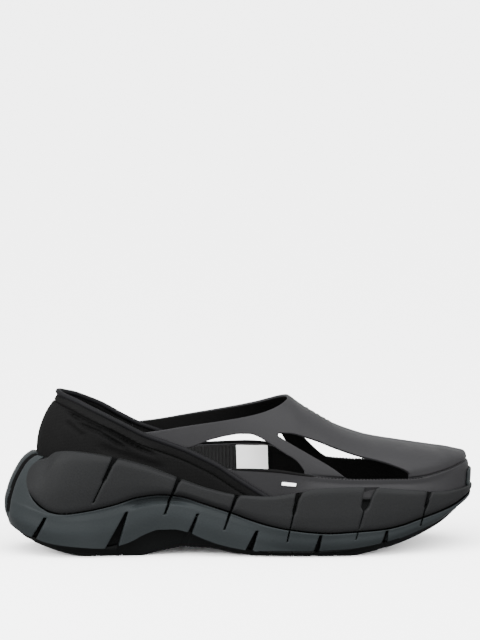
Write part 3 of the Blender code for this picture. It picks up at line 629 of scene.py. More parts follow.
def last_point(theta, level):
    """A point of the last: level 0 to 1 climbs its wall, 1 to 2 goes over to the ridge."""
    wall = np.clip(level, 0.0, 1.0)
    dome = np.clip(level - 1.0, 0.0, 1.0) * 0.5 * math.pi
    top = ridge_share(0.0) * INSTEP_HEIGHT
    heel_power = 2.0 / fullness(0.0)
    heel_footbed = footbed_share(0.0) * HEEL_STACK
    heel_z = heel_footbed + (SEAM_HEIGHT - heel_footbed) * wall
    heel_z = heel_z + (top - SEAM_HEIGHT) * np.sin(dome) ** heel_power
    back = heel_back_share(heel_z / HEEL_HEIGHT) + SLEEVE_OUTER / LENGTH
    toe_power = 2.0 / fullness(1.0)
    tuck = WALL_TUCK * (1.0 - wall) ** WALL_CURVE
    front = TOE_FRONT - TOE_CORNER * (1.0 - np.cos(dome) ** toe_power) - tuck / LENGTH
    own = 0.5 * (1.0 - np.cos(theta))
    along = back + (front - back) * own
    forward = np.clip((along - MARGIN_FROM) / (MARGIN_TO - MARGIN_FROM), 0.0, 1.0)
    margin = HEEL_MARGIN + (BALL_MARGIN - HEEL_MARGIN) * forward
    along, across = outline(theta, back, front, margin + tuck)
    power = 2.0 / fullness(along)
    centre = sole_centre(along) * BALL_WIDTH
    across = centre + (across - centre) * np.cos(dome) ** power
    bed = footbed_share(along) * HEEL_STACK
    seam = seam_share(along) * SEAM_HEIGHT
    ridge = ridge_share(along) * INSTEP_HEIGHT
    height = bed + (seam - bed) * wall + (ridge - seam) * np.sin(dome) ** power
    return np.stack([place(along), across, height], axis=-1)


def last_at(theta, level, offset=0.0):
    """Points of the last and the way out of it there, moved out by an offset."""
    level = np.broadcast_to(level, np.shape(theta))
    low, high = np.maximum(level - NUDGE, 0.0), np.minimum(level + NUDGE, 2.0)
    along_ring = last_point(theta + NUDGE, level) - last_point(theta - NUDGE, level)
    up_wall = last_point(theta, high) - last_point(theta, low)
    normal = np.cross(along_ring, up_wall)
    normal /= np.maximum(np.linalg.norm(normal, axis=-1, keepdims=True), TINY)
    offset = np.broadcast_to(offset, np.shape(theta))[..., None]
    return last_point(theta, level) + normal * offset, normal


def climb(theta, height):
    """The level of the last at which it reaches a height, itself a function of its points."""
    low, high = np.zeros_like(theta), np.full_like(theta, LEVEL_CAP)
    for _ in range(HALVINGS):
        middle = 0.5 * (low + high)
        point = last_point(theta, middle)
        short = point[..., 2] < height(point)
        low, high = np.where(short, middle, low), np.where(short, high, middle)
    return middle


def turn(along):
    """The angle round the last at about a share of the length, on the lateral side."""
    back = heel_back_share(SEAM_HEIGHT / HEEL_HEIGHT) + SLEEVE_OUTER / LENGTH
    return np.arccos(np.clip(1.0 - 2.0 * (along - back) / (TOE_FRONT - back), -1.0, 1.0))


def sole_point(theta, height):
    """A point of the sole: -1 to 0 its underside, 0 to 8 its side, 8 to 10 the ledge and the cup."""
    rings = []
    for level in SOLE_LEVELS:
        along, across = outline(theta, level.back, level.front, level.inset)
        low, high = level.lower(along), level.upper(along)
        height_there = (low + (high - low) * level.mix) * HEEL_STACK
        rings.append(np.stack([place(along), across, height_there], -1))
    keel = rings[0].copy()
    keel[..., 1] = sole_centre(keel[..., 0] / LENGTH + 0.5) * BALL_WIDTH
    top = rings[-1][..., 2]
    along = 0.5 * (1.0 - np.cos(theta))
    forward = np.clip((along - TAIL_END - TAIL_ROOM) / TAIL_BLEND, 0.0, 1.0)
    clear = SLEEVE_OUTER + GAP + (RIM_STEP - SLEEVE_OUTER) * forward
    ledge = last_at(theta, climb(theta, lambda point: top - LEDGE_FALL), clear)[0]
    cup = last_at(theta, climb(theta, lambda point: top - CUP_DEPTH), clear)[0]
    return through(np.array([keel, *rings, ledge, cup]), height + 1.0, SOLE_CORNERS)


def through(rings, at, corners):
    """Points on smooth curves through a stack of rings; a corner ring keeps its edge."""
    slopes = np.diff(rings, axis=0)
    both = slopes[:-1] * slopes[1:]
    total = slopes[:-1] + slopes[1:]
    middle = np.where(both > 0.0, 2.0 * both / np.where(np.abs(total) > TINY, total, 1.0), 0.0)
    leave = np.concatenate([slopes[:1], middle, slopes[-1:]])
    arrive = leave.copy()
    for ring in corners:
        arrive[ring], leave[ring] = slopes[ring - 1], slopes[ring]
    i = np.clip(np.floor(at).astype(int), 0, len(rings) - 2)
    t = (at - i)[:, None]
    point = np.arange(len(at))
    rise = 3.0 * t ** 2 - 2.0 * t ** 3
    bend = (t ** 3 - 2.0 * t ** 2 + t) * leave[i, point] + (t ** 3 - t ** 2) * arrive[i + 1, point]
    return rings[i, point] * (1.0 - rise) + rings[i + 1, point] * rise + bend


def toward(points, polygon, closed=True):
    """Distance of side-view points from an outline, negative inside it where it is closed."""
    best = np.full(len(points), FAR)
    inside = np.zeros(len(points), dtype=bool)
    low, high = polygon.min(axis=0) - FAR, polygon.max(axis=0) + FAR
    near = np.nonzero(np.all((points > low) & (points < high), axis=1))[0]
    spot, found, within = points[near], best[near], inside[near]
    ends = np.roll(polygon, -1, axis=0) if closed else polygon[1:]
    for start, end in zip(polygon, ends):
        step = end - start
        rel = spot - start
        share = np.clip(rel @ step / max(step @ step, TINY), 0.0, 1.0)
        found = np.minimum(found, np.hypot(*(rel - share[:, None] * step).T))
        if closed and abs(step[1]) > 0.0:
            spans = (start[1] > spot[:, 1]) != (end[1] > spot[:, 1])
            within ^= spans & (spot[:, 0] < start[0] + rel[:, 1] * step[0] / step[1])
    best[near], inside[near] = found, within
    return np.where(inside, -best, best)


def beyond(outlines):
    """Distance outside several side-view outlines, each with its side: -1, 1, or 0 for both."""
    def field(points):
        best = np.full(len(points), FAR)
        for polygon, side in outlines:
            here = points[:, 1] * side >= 0.0
            best[here] = np.minimum(best[here], toward(points[here][:, ::2], polygon))
        return best
    return field


class Sheet:
    """Triangles on a surface of two parameters, cut along lines before they get their thickness."""

    def __init__(self, surface, columns, rows):
        theta, level = np.meshgrid(columns, rows)
        self.surface = surface
        self.spots = np.stack([theta.ravel(), level.ravel()], axis=-1)
        self.points = surface(*self.spots.T)
        width = len(columns)
        first = (np.arange(len(rows) - 1)[:, None] * width + np.arange(width - 1)).ravel()
        low = np.stack([first, first + 1, first + width + 1], axis=-1)
        high = np.stack([first, first + width + 1, first + width], axis=-1)
        self.faces = np.concatenate([low, high])

    def cut(self, field, at=0.0, keep=None):
        """Splits triangles where a field over the points passes a value; keep=1 drops what is below."""
        value = field(self.points) - at
        value = np.where(np.abs(value) < SNAP, SNAP, value)
        above = value > 0.0
        count = above[self.faces].sum(axis=1)
        mixed = self.faces[(count == 1) | (count == 2)]
        side = above[mixed]
        lone = np.where(side.sum(axis=1) == 1, side.argmax(axis=1), (~side).argmax(axis=1))
        a, b, c = mixed[np.arange(len(mixed))[:, None], (lone[:, None] + np.arange(3)) % 3].T
        edges = np.sort(np.concatenate([np.stack([a, b], -1), np.stack([a, c], -1)]), axis=1)
        pairs, where = np.unique(edges, axis=0, return_inverse=True)
        where = where.ravel() + len(self.spots)
        start, end = value[pairs[:, 0]], value[pairs[:, 1]]
        share = (start / (start - end))[:, None]
        fresh = self.spots[pairs[:, 0]] * (1.0 - share) + self.spots[pairs[:, 1]] * share
        ab, ac = where[:len(mixed)], where[len(mixed):]
        tip = np.stack([a, ab, ac], -1)
        rest = np.concatenate([np.stack([ab, b, c], -1), np.stack([ab, c, ac], -1)])
        tip_above = above[a]
        if keep:
            whole = self.faces[count == 3]
            parts = [whole, tip[tip_above], rest[~np.concatenate([tip_above, tip_above])]]
        else:
            parts = [self.faces[(count == 0) | (count == 3)], tip, rest]
        self.faces = np.concatenate(parts)
        if len(fresh):
            self.spots = np.concatenate([self.spots, fresh])
            self.points = np.concatenate([self.points, self.surface(*fresh.T)])

    def settle(self):
        """Drops unused points, joins those that coincide and works out the way out of the surface."""
        used, faces = np.unique(self.faces, return_inverse=True)
        faces = faces.reshape(-1, 3)
        points = self.points[used]
        keys = np.round(points / WELD).astype(np.int64)
        _, first, where = np.unique(keys, axis=0, return_index=True, return_inverse=True)
        faces = where.ravel()[faces]
        a, b, c = faces.T
        faces = faces[(a != b) & (b != c) & (a != c)]
        self.points, self.spots = points[first], self.spots[used][first]
        self.faces = faces
        a, b, c = self.points[faces.T]
        area = np.cross(b - a, c - a)
        self.normals = np.zeros_like(self.points)
        for corner in faces.T:
            np.add.at(self.normals, corner, area)
        self.normals /= np.maximum(np.linalg.norm(self.normals, axis=1, keepdims=True), TINY)

    def rim(self):
        """Edges that only one triangle has, each in that triangle's own direction."""
        edges = np.concatenate([self.faces[:, [0, 1]], self.faces[:, [1, 2]], self.faces[:, [2, 0]]])
        _, where, count = np.unique(
            np.sort(edges, axis=1), axis=0, return_inverse=True, return_counts=True)
        return edges[count[where.ravel()] == 1]

    def wall(self):
        """Faces that join the points along every open edge to a second lot of points."""
        count = len(self.points)
        a, b = self.rim().T
        corners = [b, a, a + count], [b, a + count, b + count]
        return np.concatenate([np.stack(three, -1) for three in corners])

    def shell(self, outer, inner):
        """Points and faces of a closed shell between two offsets along the normals."""
        count = len(self.points)
        over = self.points + self.normals * np.broadcast_to(outer, count)[:, None]
        under = self.points + self.normals * np.broadcast_to(inner, count)[:, None]
        back = self.faces[:, ::-1] + count
        return np.concatenate([over, under]), np.concatenate([self.faces, back, self.wall()])

    def flange(self, points, marks):
        """The moved points, the faces and their marks, with a strip in along every open edge marked as
        near-black painted shade.
        """
        wall = self.wall()
        inward = points - self.normals * FLANGE
        # The strip's faces get the painted shade material, a dark shadow line in the gaps
        marks = np.concatenate([marks, np.full(len(wall), PAINTED_SHADE)])
        return np.concatenate([points, inward]), np.concatenate([self.faces, wall]), marks


def edge_half(distance, wall, radius):
    """Half the thickness of a wall near its cut edge, rounded over by a radius."""
    near = radius - np.clip(distance, 0.0, radius)
    return 0.5 * wall - radius + np.sqrt(np.maximum(radius ** 2 - near ** 2, 0.0))


def lip(distance, reach, fall):
    """How far a surface falls away toward an edge: nothing past its reach, all of it at the edge."""
    return fall * (1.0 - np.clip(distance / reach, 0.0, 1.0)) ** 2


def bump_line(points, line, width, drop, lift=0.0):
    """A soft trough along a side-view line, with a ridge beside it, fading at both ends."""
    line = np.asarray(line)
    steps = np.diff(line, axis=0)
    lengths = np.hypot(*steps.T)
    before = np.concatenate([[0.0], np.cumsum(lengths)])
    best = np.full(len(points), FAR)
    side, travel = np.zeros(len(points)), np.zeros(len(points))
    for start, step, length, gone in zip(line, steps, lengths, before):
        rel = points[:, ::2] - start
        share = np.clip(rel @ step / length ** 2, 0.0, 1.0)
        miss = rel - share[:, None] * step
        distance = np.hypot(*miss.T)
        nearer = distance < best
        best = np.where(nearer, distance, best)
        side = np.where(nearer, np.sign(step[0] * rel[:, 1] - step[1] * rel[:, 0]), side)
        travel = np.where(nearer, (gone + share * length) / before[-1], travel)
    ends = smooth(np.minimum(travel, 1.0 - travel) / FOLD_FADE)
    trough = np.exp(-(best / width) ** 2)
    ridge = np.exp(-((best * side - FOLD_BESIDE * width) / (FOLD_SPREAD * width)) ** 2)
    return (lift * ridge - drop * trough) * ends


def smooth(share):
    """A share that leaves nothing and reaches one without a kink."""
    share = np.clip(share, 0.0, 1.0)
    return share * share * (3.0 - 2.0 * share)


def side_line(rows, unit, start, end, lift=0.0):
    """World x and z along a side-view table."""
    along = np.linspace(start, end, LINE_POINTS)
    return np.stack([place(along), follow(rows)(along) * unit + lift], axis=-1)


def tier_outline():
    """Side-view region of the upper tier, with its round heel lobe."""
    middle = LOBE_MIDDLE * HEEL_STACK
    reach = LOBE_REACH * LENGTH
    drop = middle - follow(TIER_LINE)(LOBE_ALONG) * HEEL_STACK
    top_angle = math.acos((LOBE_ALONG - LOBE_TOP_ALONG) * LENGTH / reach)
    angle = np.linspace(top_angle, -0.5 * math.pi, ARC_POINTS)
    high = np.where(angle > 0.0, LOBE_RISE * HEEL_STACK, drop)
    arc = np.stack(
        [place(LOBE_ALONG) - np.cos(angle) * reach, middle + np.sin(angle) * high], axis=-1)
    line = side_line(TIER_LINE, HEEL_STACK, LOBE_ALONG, 1.0)
    ahead, ceiling = place(1.0) + FAR, INSTEP_HEIGHT + FAR
    corners = [(ahead, line[-1, 1]), (ahead, ceiling), (arc[0, 0], ceiling)]
    return np.concatenate([arc, line[1:], corners])


def notch_outline(notch, below=0.0):
    """A notch's outline in the side view, run on downward by a share of its own height; its foot is a
    fine line up to its own share of the height."""
    climbs = [-below, 1.0]
    if notch.top_height > CORNER_ABOVE:
        climbs = [0.0, CORNER_FROM, 1.0]
    if notch.fine:
        climbs = [0.0, notch.fine, notch.fine + FINE_BLEND, CORNER_FROM, 1.0]
    right, left = [], []
    for share in climbs:
        along = notch.foot + (notch.top - notch.foot) * share
        height = notch.foot_height + (notch.top_height - notch.foot_height) * share
        width = notch.foot_width + (notch.top_width - notch.foot_width) * share
        if share <= notch.fine and notch.fine:
            width = FINE_WIDTH
        corner = CORNER_SPREAD * (share == 1.0 and notch.top_height > CORNER_ABOVE)
        right.append((place(along + 0.5 * width + corner), height * HEEL_STACK))
        left.append((place(along - 0.5 * width), height * HEEL_STACK))
    return np.array(right + left[::-1])


def notch_axis(notch):
    """Signed distance from the line up the middle of a notch, so that no thin part of it is missed."""
    foot = np.array((place(notch.foot), notch.foot_height * HEEL_STACK))
    run = np.array((place(notch.top), notch.top_height * HEEL_STACK)) - foot
    across = np.array((run[1], -run[0])) / np.hypot(*run)
    return lambda points: (points[:, ::2] - foot) @ across


def press_in(points, notch, polygon, depth, slope=0.0):
    """Points inside a notch, held back to its bottom as a cut from the side would; with a slope the
    bottom leans in toward its top."""
    along = 0.5 * (notch.top + notch.foot)
    theta = math.acos(1.0 - 2.0 * along)
    inside = -toward(points[:, ::2], polygon)
    deep = smooth(inside / NOTCH_WALL)
    climbed = (points[:, 2] / HEEL_STACK - notch.foot_height) / (notch.top_height - notch.foot_height)
    depth = depth + slope * smooth(climbed) ** WIDE_SLOT_CURVE
    moved = points.copy()
    for angle, side in ((theta, -1.0), (-theta, 1.0)):
        edge = abs(float(outline(np.array([angle]), 0.0, 1.0, 0.0)[1][0]))
        here = (points[:, 1] * side > 0.0) & (deep > 0.0)
        held = np.minimum(np.abs(points[here, 1]), edge - depth[here])
        moved[here, 1] = side * (np.abs(points[here, 1]) * (1.0 - deep[here]) + held * deep[here])
    return moved


def opening(top_rows, strut_rows, extra):
    """Side-view outline of an opening of the cage, from the rim or the strut up to its top edge."""
    along = np.linspace(top_rows[0].along, top_rows[-1].along, LINE_POINTS)
    top = follow(top_rows)(along) * INSTEP_HEIGHT
    foot = seam_share(along) * SEAM_HEIGHT + follow(MEDIAL_RISE)(along) * extra
    held_by_strut = np.zeros_like(along)
    if strut_rows:
        strut = follow(strut_rows)(along) * INSTEP_HEIGHT
        held_by_strut = np.where(along < strut_rows[-1].along, strut, 0.0)
    held = top - np.maximum(foot, held_by_strut) > GAP
    low = np.maximum(foot - OPENING_BELOW_RIM, held_by_strut)
    upper_edge = np.stack([place(along[held]), top[held]], axis=-1)
    lower_edge = np.stack([place(along[held]), low[held]], axis=-1)
    return np.concatenate([upper_edge, lower_edge[::-1]])


def rim_top(points):
    """Height of the rim's top edge: the seam, and a little more along the medial side."""
    along = share_of(points)
    rise = follow(MEDIAL_RISE)(along) * smooth((along - COUNTER_FROM) / COUNTER_BLEND)
    return seam_share(along) * SEAM_HEIGHT + rise * MEDIAL_WALL_RISE * (points[..., 1] > 0.0)


def rim_flare(points):
    """How far the rim stands out below its seam, most at the sole's top edge."""
    along = share_of(points)
    tip = smooth((along - RIM_TIP_FROM) / RIM_TIP_BLEND)
    start = seam_share(along) * SEAM_HEIGHT - RIM_STRAIGHT * (1.0 - RIM_TIP_SHORTER * tip)
    reach = np.maximum(start - sole_top_share(along) * HEEL_STACK, RIM_STRAIGHT)
    down = (start - points[:, 2]) / reach
    at_wide_slot = np.abs(along - WIDE_SLOT_AT) < WIDE_SLOT
    flare = np.clip(down, 0.0, 1.0) ** (RIM_CURVE - RIM_TIP_FULLER * tip)
    flare *= 1.0 - smooth((down - 1.0) / RIM_RETURN) * at_wide_slot
    return RIM_FLARE * flare * smooth((along - FLARE_FROM) / FLARE_BLEND)


def tuck(points):
    """How far in the medial side of the sleeve comes to cover the end of the cage's arm."""
    along = share_of(points)
    window = smooth((along - TUCK_FROM) / TUCK_IN) * smooth((TUCK_TO - along) / TUCK_OUT)
    return TUCK_DEPTH * window * (points[..., 1] > 0.0)


def levels(runs):
    """The rows of a sheet, from its runs of levels; a run starts where the one before it ends."""
    rows = []
    for run in runs:
        steps = np.linspace(run.start, run.end, run.count)
        if run.eased:
            steps = run.start + (run.end - run.start) * smooth(np.linspace(0.0, 1.0, run.count))
        rows = [*rows[:-1], *steps]
    return rows


def around(count):
    """The columns of a sheet that goes all the way round the shoe."""
    return np.linspace(0.0, 2.0 * math.pi, count + 1)


def mesh_piece(name, points, faces, *materials, marks=None):
    """A new object from points and triangles, joined where they coincide; marks number the material
    of each face."""
    mesh = bpy.data.meshes.new(name)
    mesh.from_pydata(points.tolist(), [], faces.tolist())
    if marks is not None:
        mesh.polygons.foreach_set("material_index", marks.astype(np.int32))
    bm = bmesh.new()
    bm.from_mesh(mesh)
    bmesh.ops.remove_doubles(bm, verts=bm.verts, dist=WELD)
    bmesh.ops.recalc_face_normals(bm, faces=bm.faces)
    bm.to_mesh(mesh)
    bm.free()
    mesh.shade_smooth()
    mesh.set_sharp_from_angle(angle=SHARP_ANGLE)
    for material in materials:
        mesh.materials.append(material)
    item = bpy.data.objects.new(name, mesh)
    bpy.context.scene.collection.objects.link(item)
    return item


def tube(path, radius, sides=12):
    """Points and faces of a round cord along a path, closed at both ends."""
    path = np.asarray(path)
    run = np.gradient(path, axis=0)
    run /= np.maximum(np.linalg.norm(run, axis=1, keepdims=True), TINY)
    flat = np.cross(run, (0.0, 0.0, 1.0))
    flat /= np.maximum(np.linalg.norm(flat, axis=1, keepdims=True), TINY)
    up = np.cross(flat, run)
    angle = np.linspace(0.0, 2.0 * math.pi, sides, endpoint=False)
    radius = np.broadcast_to(radius, len(path))[:, None, None]
    ring = np.cos(angle)[:, None] * flat[:, None] + np.sin(angle)[:, None] * up[:, None]
    points = (path[:, None] + ring * radius).reshape(-1, 3)
    first = (np.arange(len(path) - 1)[:, None] * sides + np.arange(sides)).ravel()
    after = (np.arange(len(path) - 1)[:, None] * sides + (np.arange(sides) + 1) % sides).ravel()
    faces = [np.stack([first, after, after + sides], -1),
             np.stack([first, after + sides, first + sides], -1)]
    end = (len(path) - 1) * sides
    fan = np.arange(1, sides - 1)
    faces.append(np.stack([np.zeros_like(fan), fan + 1, fan], -1))
    faces.append(np.stack([np.full_like(fan, end), end + fan, end + fan + 1], -1))
    return points, np.concatenate(faces)


def joined(parts):
    """Several lots of points and faces as one."""
    points, faces, count = [], [], 0
    for some_points, some_faces in parts:
        points.append(some_points)
        faces.append(some_faces + count)
        count += len(some_points)
    return np.concatenate(points), np.concatenate(faces)


def tread_grooves(points):
    """Distance outside the grooves across the tread."""
    best = np.full(len(points), FAR)
    for along in TREAD_GROOVES:
        best = np.minimum(best, np.abs(points[:, 0] - place(along)) - 0.5 * TREAD_GROOVE_WIDTH)
    return best


def arch_share(points):
    """One at the arch, where the hollow under the tier line is deep, none away from it."""
    along = share_of(points)
    return smooth((along - ARCH_FROM) / ARCH_IN) * smooth((ARCH_TO - along) / ARCH_OUT)


def scoop_fall(points, level):
    """The hollow under the tier line, deepest at the arch."""
    along = share_of(points)
    arch = arch_share(points)
    band = smooth((level - SCOOP_FOOT) / (SCOOP_RISE + SCOOP_RISE_AT_ENDS * (1.0 - arch)))
    band *= 1.0 - SCOOP_OVERHANG * np.clip((level - SCOOP_FOOT - SCOOP_HOLD) / SCOOP_RETURN, 0.0, 1.0)
    ends = smooth((SCOOP_TO - along) / SCOOP_OUT) * smooth((along - SCOOP_FROM) / SCOOP_IN)
    ends *= SCOOP_AT_ENDS
    return (ends + (SCOOP_DEPTH - ends) * arch) * band


def lobe_softness(points):
    """One, except up the back of the heel lobe, where the two tiers run into each other."""
    high = smooth((points[:, 2] - SOFT_HEIGHT) / SOFT_HEIGHT_BLEND)
    behind = smooth((place(SOFT_ALONG) - points[:, 0]) / SOFT_BLEND)
    return 1.0 - high * behind


def front_lean(points, edge):
    """How far the lower tier leans inward below the tier line, under the front of the foot."""
    share = smooth((share_of(points) - FRONT_LEAN_FROM) / (FRONT_LEAN_FULL - FRONT_LEAN_FROM))
    return FRONT_LEAN * share * np.clip(edge / FRONT_LEAN_REACH, 0.0, 1.0)


def gap_share(points):
    """Share of the gap between the tiers: they overlap a little where it closes."""
    return (1.0 + TIER_OVERLAP) * lobe_softness(points) - TIER_OVERLAP


def heel_spine_fall(points):
    """Two grooves up the back of the heel, beside its middle strip."""
    away = np.abs(points[:, 1]) - HEEL_SPINE
    groove = SPINE_GROOVE * np.exp(-(away / SPINE_GROOVE_WIDTH) ** 2)
    swell = SPINE_SWELL * smooth(-away / SPINE_SWELL_BLEND)
    behind = smooth((place(SPINE_ALONG) - points[:, 0]) / SPINE_BLEND)
    height = smooth((points[:, 2] - SPINE_FOOT) / SPINE_BLEND)
    return (groove - swell) * behind * height


def toward_inside(polygon):
    """Distance inside a side-view outline, for both sides of the shoe."""
    return lambda points: -toward(points[:, ::2], polygon)


def every(sheet, held):
    """Which faces have all their corners among the points that are held."""
    return np.all(held[sheet.faces], axis=1)


def inner_faces(sheet, field, faces):
    """Marks the inner faces of a shell, short of its rounded edges."""
    count = len(sheet.faces)
    marks = np.zeros(len(faces), dtype=int)
    marks[count:2 * count] = every(sheet, field(sheet.points) > INNER_FROM)
    return marks


def notched_sheet(runs, edge, gap, edge_rows, notches):
    """The sheet of one tier, cut along the tier line and round its notches, and the distance
    outside these."""
    sheet = Sheet(sole_point, around(SOLE_COLUMNS), levels(runs))
    sheet.cut(lambda points: edge(points) - 0.5 * gap * gap_share(points), keep=1)
    for row in edge_rows:
        sheet.cut(edge, row)
    cuts = beyond([(polygon, 0) for _, polygon in notches])
    for notch in SIDE_NOTCHES:
        sheet.cut(notch_axis(notch))
    for row in NOTCH_ROWS:
        sheet.cut(cuts, row)
    return sheet, cuts


def finish(name, colour):
    """A matte or satin finish: fine grain in the bump, slow changes of tone and of gloss."""
    own = FINISHES[name]
    material = bpy.data.materials.new(name)
    material.use_nodes = True
    nodes, links = material.node_tree.nodes, material.node_tree.links
    surface = nodes["Principled BSDF"]
    surface.inputs["Specular IOR Level"].default_value = own.shine
    spot = nodes.new("ShaderNodeTexCoord").outputs["Object"]

    def noise(scale, detail):
        node = nodes.new("ShaderNodeTexNoise")
        node.inputs["Scale"].default_value = scale
        node.inputs["Detail"].default_value = detail
        links.new(spot, node.inputs["Vector"])
        return node.outputs["Fac"]

    def spread(value, low, high):
        node = nodes.new("ShaderNodeMapRange")
        node.inputs["From Min"].default_value = NOISE_LOW
        node.inputs["From Max"].default_value = NOISE_HIGH
        node.inputs["To Min"].default_value = low
        node.inputs["To Max"].default_value = high
        links.new(value, node.inputs["Value"])
        return node.outputs["Result"]

    tone = nodes.new("ShaderNodeMix")
    tone.data_type = "RGBA"
    tone.inputs["A"].default_value = (*[part * (1.0 - own.shade) for part in colour], 1.0)
    tone.inputs["B"].default_value = (*[part * (1.0 + own.shade) for part in colour], 1.0)
    links.new(spread(noise(MOTTLE_SCALE, MOTTLE_DETAIL), 0.0, 1.0), tone.inputs["Factor"])
    links.new(tone.outputs["Result"], surface.inputs["Base Color"])
    gloss = noise(GLOSS_SCALE, GLOSS_DETAIL)
    smoothest, roughest = own.roughness - GLOSS_SPREAD, own.roughness + GLOSS_SPREAD
    links.new(spread(gloss, smoothest, roughest), surface.inputs["Roughness"])
    height = noise(own.grain, GRAIN_DETAIL)
    if own.weave:
        cloth = []
        for direction in ("X", "Z"):
            wave = nodes.new("ShaderNodeTexWave")
            wave.bands_direction = direction
            wave.inputs["Scale"].default_value = 2.0 * math.pi / (WAVE_UNIT * own.weave)
            wave.inputs["Distortion"].default_value = WAVE_DISTORTION
            wave.inputs["Detail"].default_value = WAVE_DETAIL
            links.new(spot, wave.inputs["Vector"])
            cloth.append(wave.outputs["Fac"])
        crossing = nodes.new("ShaderNodeMath")
        crossing.operation = "MULTIPLY"
        links.new(cloth[0], crossing.inputs[0])
        links.new(cloth[1], crossing.inputs[1])
        total = nodes.new("ShaderNodeMath")
        total.operation = "ADD"
        links.new(crossing.outputs["Value"], total.inputs[0])
        links.new(height, total.inputs[1])
        height = total.outputs["Value"]
    relief = nodes.new("ShaderNodeBump")
    relief.inputs["Strength"].default_value = own.bump
    relief.inputs["Distance"].default_value = GRAIN_DEPTH
    links.new(height, relief.inputs["Height"])
    links.new(relief.outputs["Normal"], surface.inputs["Normal"])
    return material


def colour_of(name, value, note):
    return bpy.props.FloatVectorProperty(
        name=name, description=note, default=value, subtype="COLOR", size=3, min=0.0, max=1.0)


def length_of(name, value, note):
    return bpy.props.FloatProperty(
        name=name, description=note, default=value, unit="LENGTH", subtype="DISTANCE", precision=4)


class SneakerSole(bpy.types.PropertyGroup):
    """Sizes and colours of the two tiers of the sole."""
    rubber: colour_of("Rubber", (0.0098, 0.0114, 0.0120), "Colour of the lower tier and the toe tab")
    foam: colour_of("Foam", (0.0064, 0.0066, 0.0068), "Colour of the upper tier")
    # Painted shade: the tread colour darkens the underside below the lower edge
    tread: colour_of("Tread", (0.0017, 0.0019, 0.0019), "Colour of the underside, below its edge")
    # Painted shade: this near-black fills the slots, wedges, heel grooves, the lower-edge line and the
    # gaps between the tiers
    notch: colour_of("Notches", (0.0010, 0.0011, 0.0011), "Colour at the bottom of slots and wedges")
    tier_gap: length_of("Tier gap", 0.0006, "Width of the line between the two tiers")
    pillow_fall: length_of("Pillow fall", 0.0013, "How far the upper tier falls away at its lower edge")
    pillow_reach: length_of("Pillow reach", 0.0040, "Width of the upper tier's rounded lower edge")
    slot_depth: length_of("Slot depth", 0.0038, "Depth of the slots between the blocks")
    wedge_depth: length_of("Wedge depth", 0.0062, "Depth of the wedges in the lower tier")


class SneakerUpper(bpy.types.PropertyGroup):
    """Sizes and colours of the cage, its rim and the textile heel."""
    cage: colour_of("Cage", (0.0108, 0.0107, 0.0113), "Colour of the moulded cage and its rim")
    cloth: colour_of("Cloth", (0.0021, 0.0021, 0.0021), "Colour of the heel sleeve")
    tape: colour_of("Tape", (0.0032, 0.0032, 0.0036), "Colour of the binding along the collar")
    inside: colour_of("Inside", (0.0020, 0.0020, 0.0020), "Colour of the inner face of the cage")
    edge_radius: length_of("Edge radius", 0.0005, "Rounding of the cage's cut edges")
    rim_radius: length_of("Rim radius", 0.0006, "Rounding of the rim's top edge")
    fold_depth: length_of("Fold depth", 0.0024, "Depth of the deepest fold of the heel sleeve")


class SneakerTrim(bpy.types.PropertyGroup):
    """Sizes and colours of the insole, label, lining and threads."""
    label: colour_of("Label", (0.90, 0.90, 0.89), "Colour of the blank label and the bar tack")
    lining: colour_of("Lining", (0.0080, 0.0080, 0.0080), "Colour of the insole and the ribbed lining")
    thread: colour_of("Thread", (0.0012, 0.0012, 0.0012), "Colour of the stitches along the rim")
    stitch_length: length_of("Stitch length", 0.0014, "Length of one stitch")
    stitch_pitch: length_of("Stitch pitch", 0.0022, "Distance from one stitch to the next")


class SneakerStage(bpy.types.PropertyGroup):
    """Floor, lights and camera."""
    floor: colour_of("Floor", (0.97, 0.97, 0.97), "Colour of the floor")
    camera_distance: length_of("Camera distance", 2.2, "From the camera to the point it looks at")
    camera_turn: bpy.props.FloatProperty(
        name="Camera turn", description="How far the camera stands round toward the heel",
        default=math.radians(5.20), unit="ROTATION", subtype="ANGLE")
    camera_rise: bpy.props.FloatProperty(
        name="Camera rise", description="How far the camera looks down",
        default=math.radians(5.84), unit="ROTATION", subtype="ANGLE")


class SneakerOperator(bpy.types.Operator):
    """Shared by the operators that each build one piece or group of pieces."""
    bl_options = {"REGISTER", "UNDO"}

    def execute(self, context):
        scene = context.scene
        self.build(scene.sneaker_sole, scene.sneaker_upper, scene.sneaker_trim, scene.sneaker_stage)
        return {"FINISHED"}


